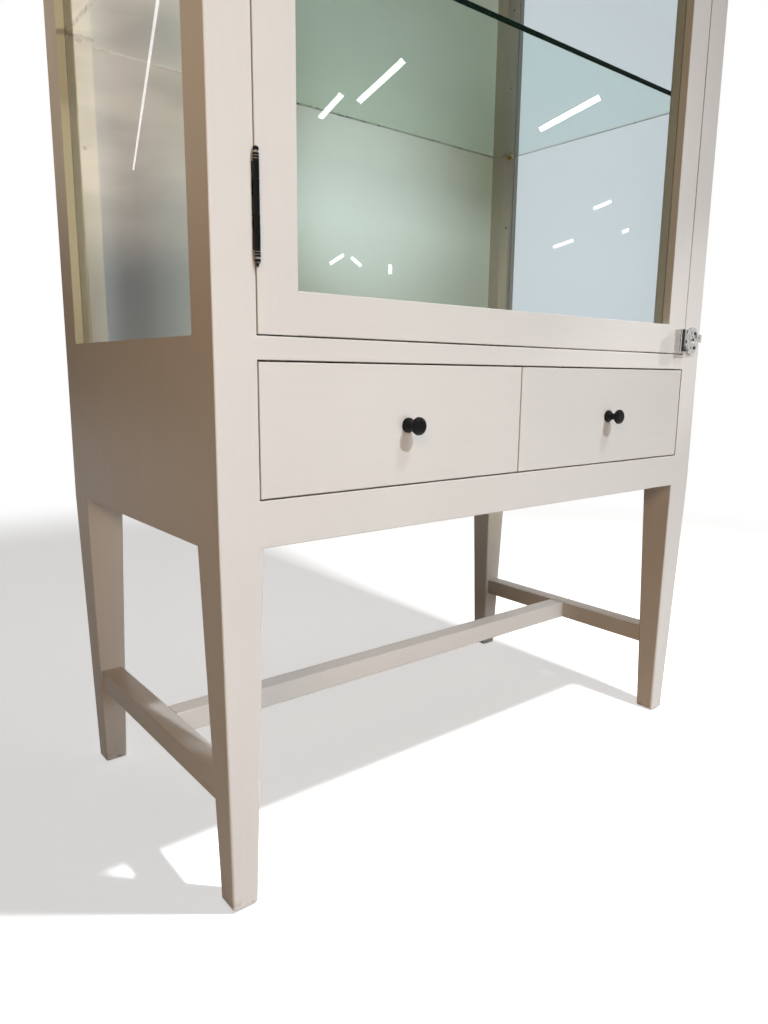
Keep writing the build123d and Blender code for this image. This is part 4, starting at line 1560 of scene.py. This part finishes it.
    def dark_room(self) -> Material:
        """An unlit room, so that the door's pane stays clear; only what is mirrored shows it."""
        sketch = NodeSketch("dark_room")
        sketch.tree.nodes.remove(sketch.shader)
        depth = sketch.add("ShaderNodeLightPath").outputs["Glossy Depth"]
        mirrored = sketch.math("GREATER_THAN", depth, 0.5)
        clear = sketch.add("ShaderNodeBsdfTransparent")
        glow = sketch.add("ShaderNodeEmission", {"Color": (0.05, 0.05, 0.05, 1.0)})
        shaders = {0: mirrored, 1: clear.outputs[0], 2: glow.outputs[0]}
        mixed = sketch.add("ShaderNodeMixShader", shaders)
        sketch.feed(sketch.output.inputs["Surface"], mixed.outputs[0])
        return sketch.material

    def glowing(self, sketch: NodeSketch, tone: Socket | Colour) -> Material:
        """Turns a material into a plain glow.

        Args:
            sketch: The material's nodes so far.
            tone: The glow's colour.

        Returns:
            The material.
        """
        sketch.tree.nodes.remove(sketch.shader)
        glow = sketch.add("ShaderNodeEmission", {"Color": tone})
        sketch.feed(sketch.output.inputs["Surface"], glow.outputs[0])
        return sketch.material

    def camera(self) -> None:
        """The camera at the photograph's viewing angle."""
        yaw, pitch, roll = self.camera_yaw, self.camera_pitch, self.camera_roll
        ahead = Vector((math.sin(yaw) * math.cos(pitch), math.cos(yaw) * math.cos(pitch), math.sin(pitch)))
        level = Vector((math.cos(yaw), -math.sin(yaw), 0.0))
        above = level.cross(ahead)
        right = level * math.cos(roll) + above * math.sin(roll)
        up = above * math.cos(roll) - level * math.sin(roll)
        data = bpy.data.cameras.new("camera")
        data.sensor_width = self.sensor
        data.lens = self.focal_pixels / self.picture_height * self.sensor
        camera = bpy.data.objects.new("camera", data)
        turn = Matrix((right, up, -ahead)).transposed().to_4x4()
        camera.matrix_world = Matrix.Translation(self.camera_place) @ turn
        bpy.context.scene.collection.objects.link(camera)
        bpy.context.scene.camera = camera


def seen_directly(tree: bpy.types.NodeTree) -> Socket:
    """A value that is 1 for what the camera sees, also in a mirror or through glass.

    Args:
        tree: The nodes that use the value.

    Returns:
        The value's socket.
    """
    path = tree.nodes.new("ShaderNodeLightPath")
    value = path.outputs["Is Camera Ray"]
    for name in ("Is Glossy Ray", "Is Transmission Ray"):
        either = tree.nodes.new("ShaderNodeMath")
        either.operation = "MAXIMUM"
        tree.links.new(value, either.inputs[0])
        tree.links.new(path.outputs[name], either.inputs[1])
        value = either.outputs[0]
    return value


def main() -> None:
    """Builds and dresses each sub-assembly in turn, then the studio."""
    logging.basicConfig(level=logging.INFO, format="%(name)s %(message)s")
    iron = BLACK_IRON.material()
    worn_iron = GROOVE_HIGHLIGHT_IRON.material()
    Carcass().dress()
    Door().build()
    Glazing().build()
    front_paint = Paint("drawer_paint", Grain.ACROSS, rubbed=True, leg_top=2.0).material()
    side_wood = BareWood("drawer_side_wood", Grain.DEEP).material()
    cross_wood = BareWood("drawer_cross_wood", Grain.ACROSS).material()
    for side in ("left", "right"):
        Drawer(side, front_paint, side_wood, cross_wood, iron).build()
    for level in ("lower", "upper"):
        ButtHinge(level, iron, worn_iron).build()
    Latch(NICKEL.material()).build()
    Fixings().build()
    Studio().build()


if __name__ == "__main__":
    main()
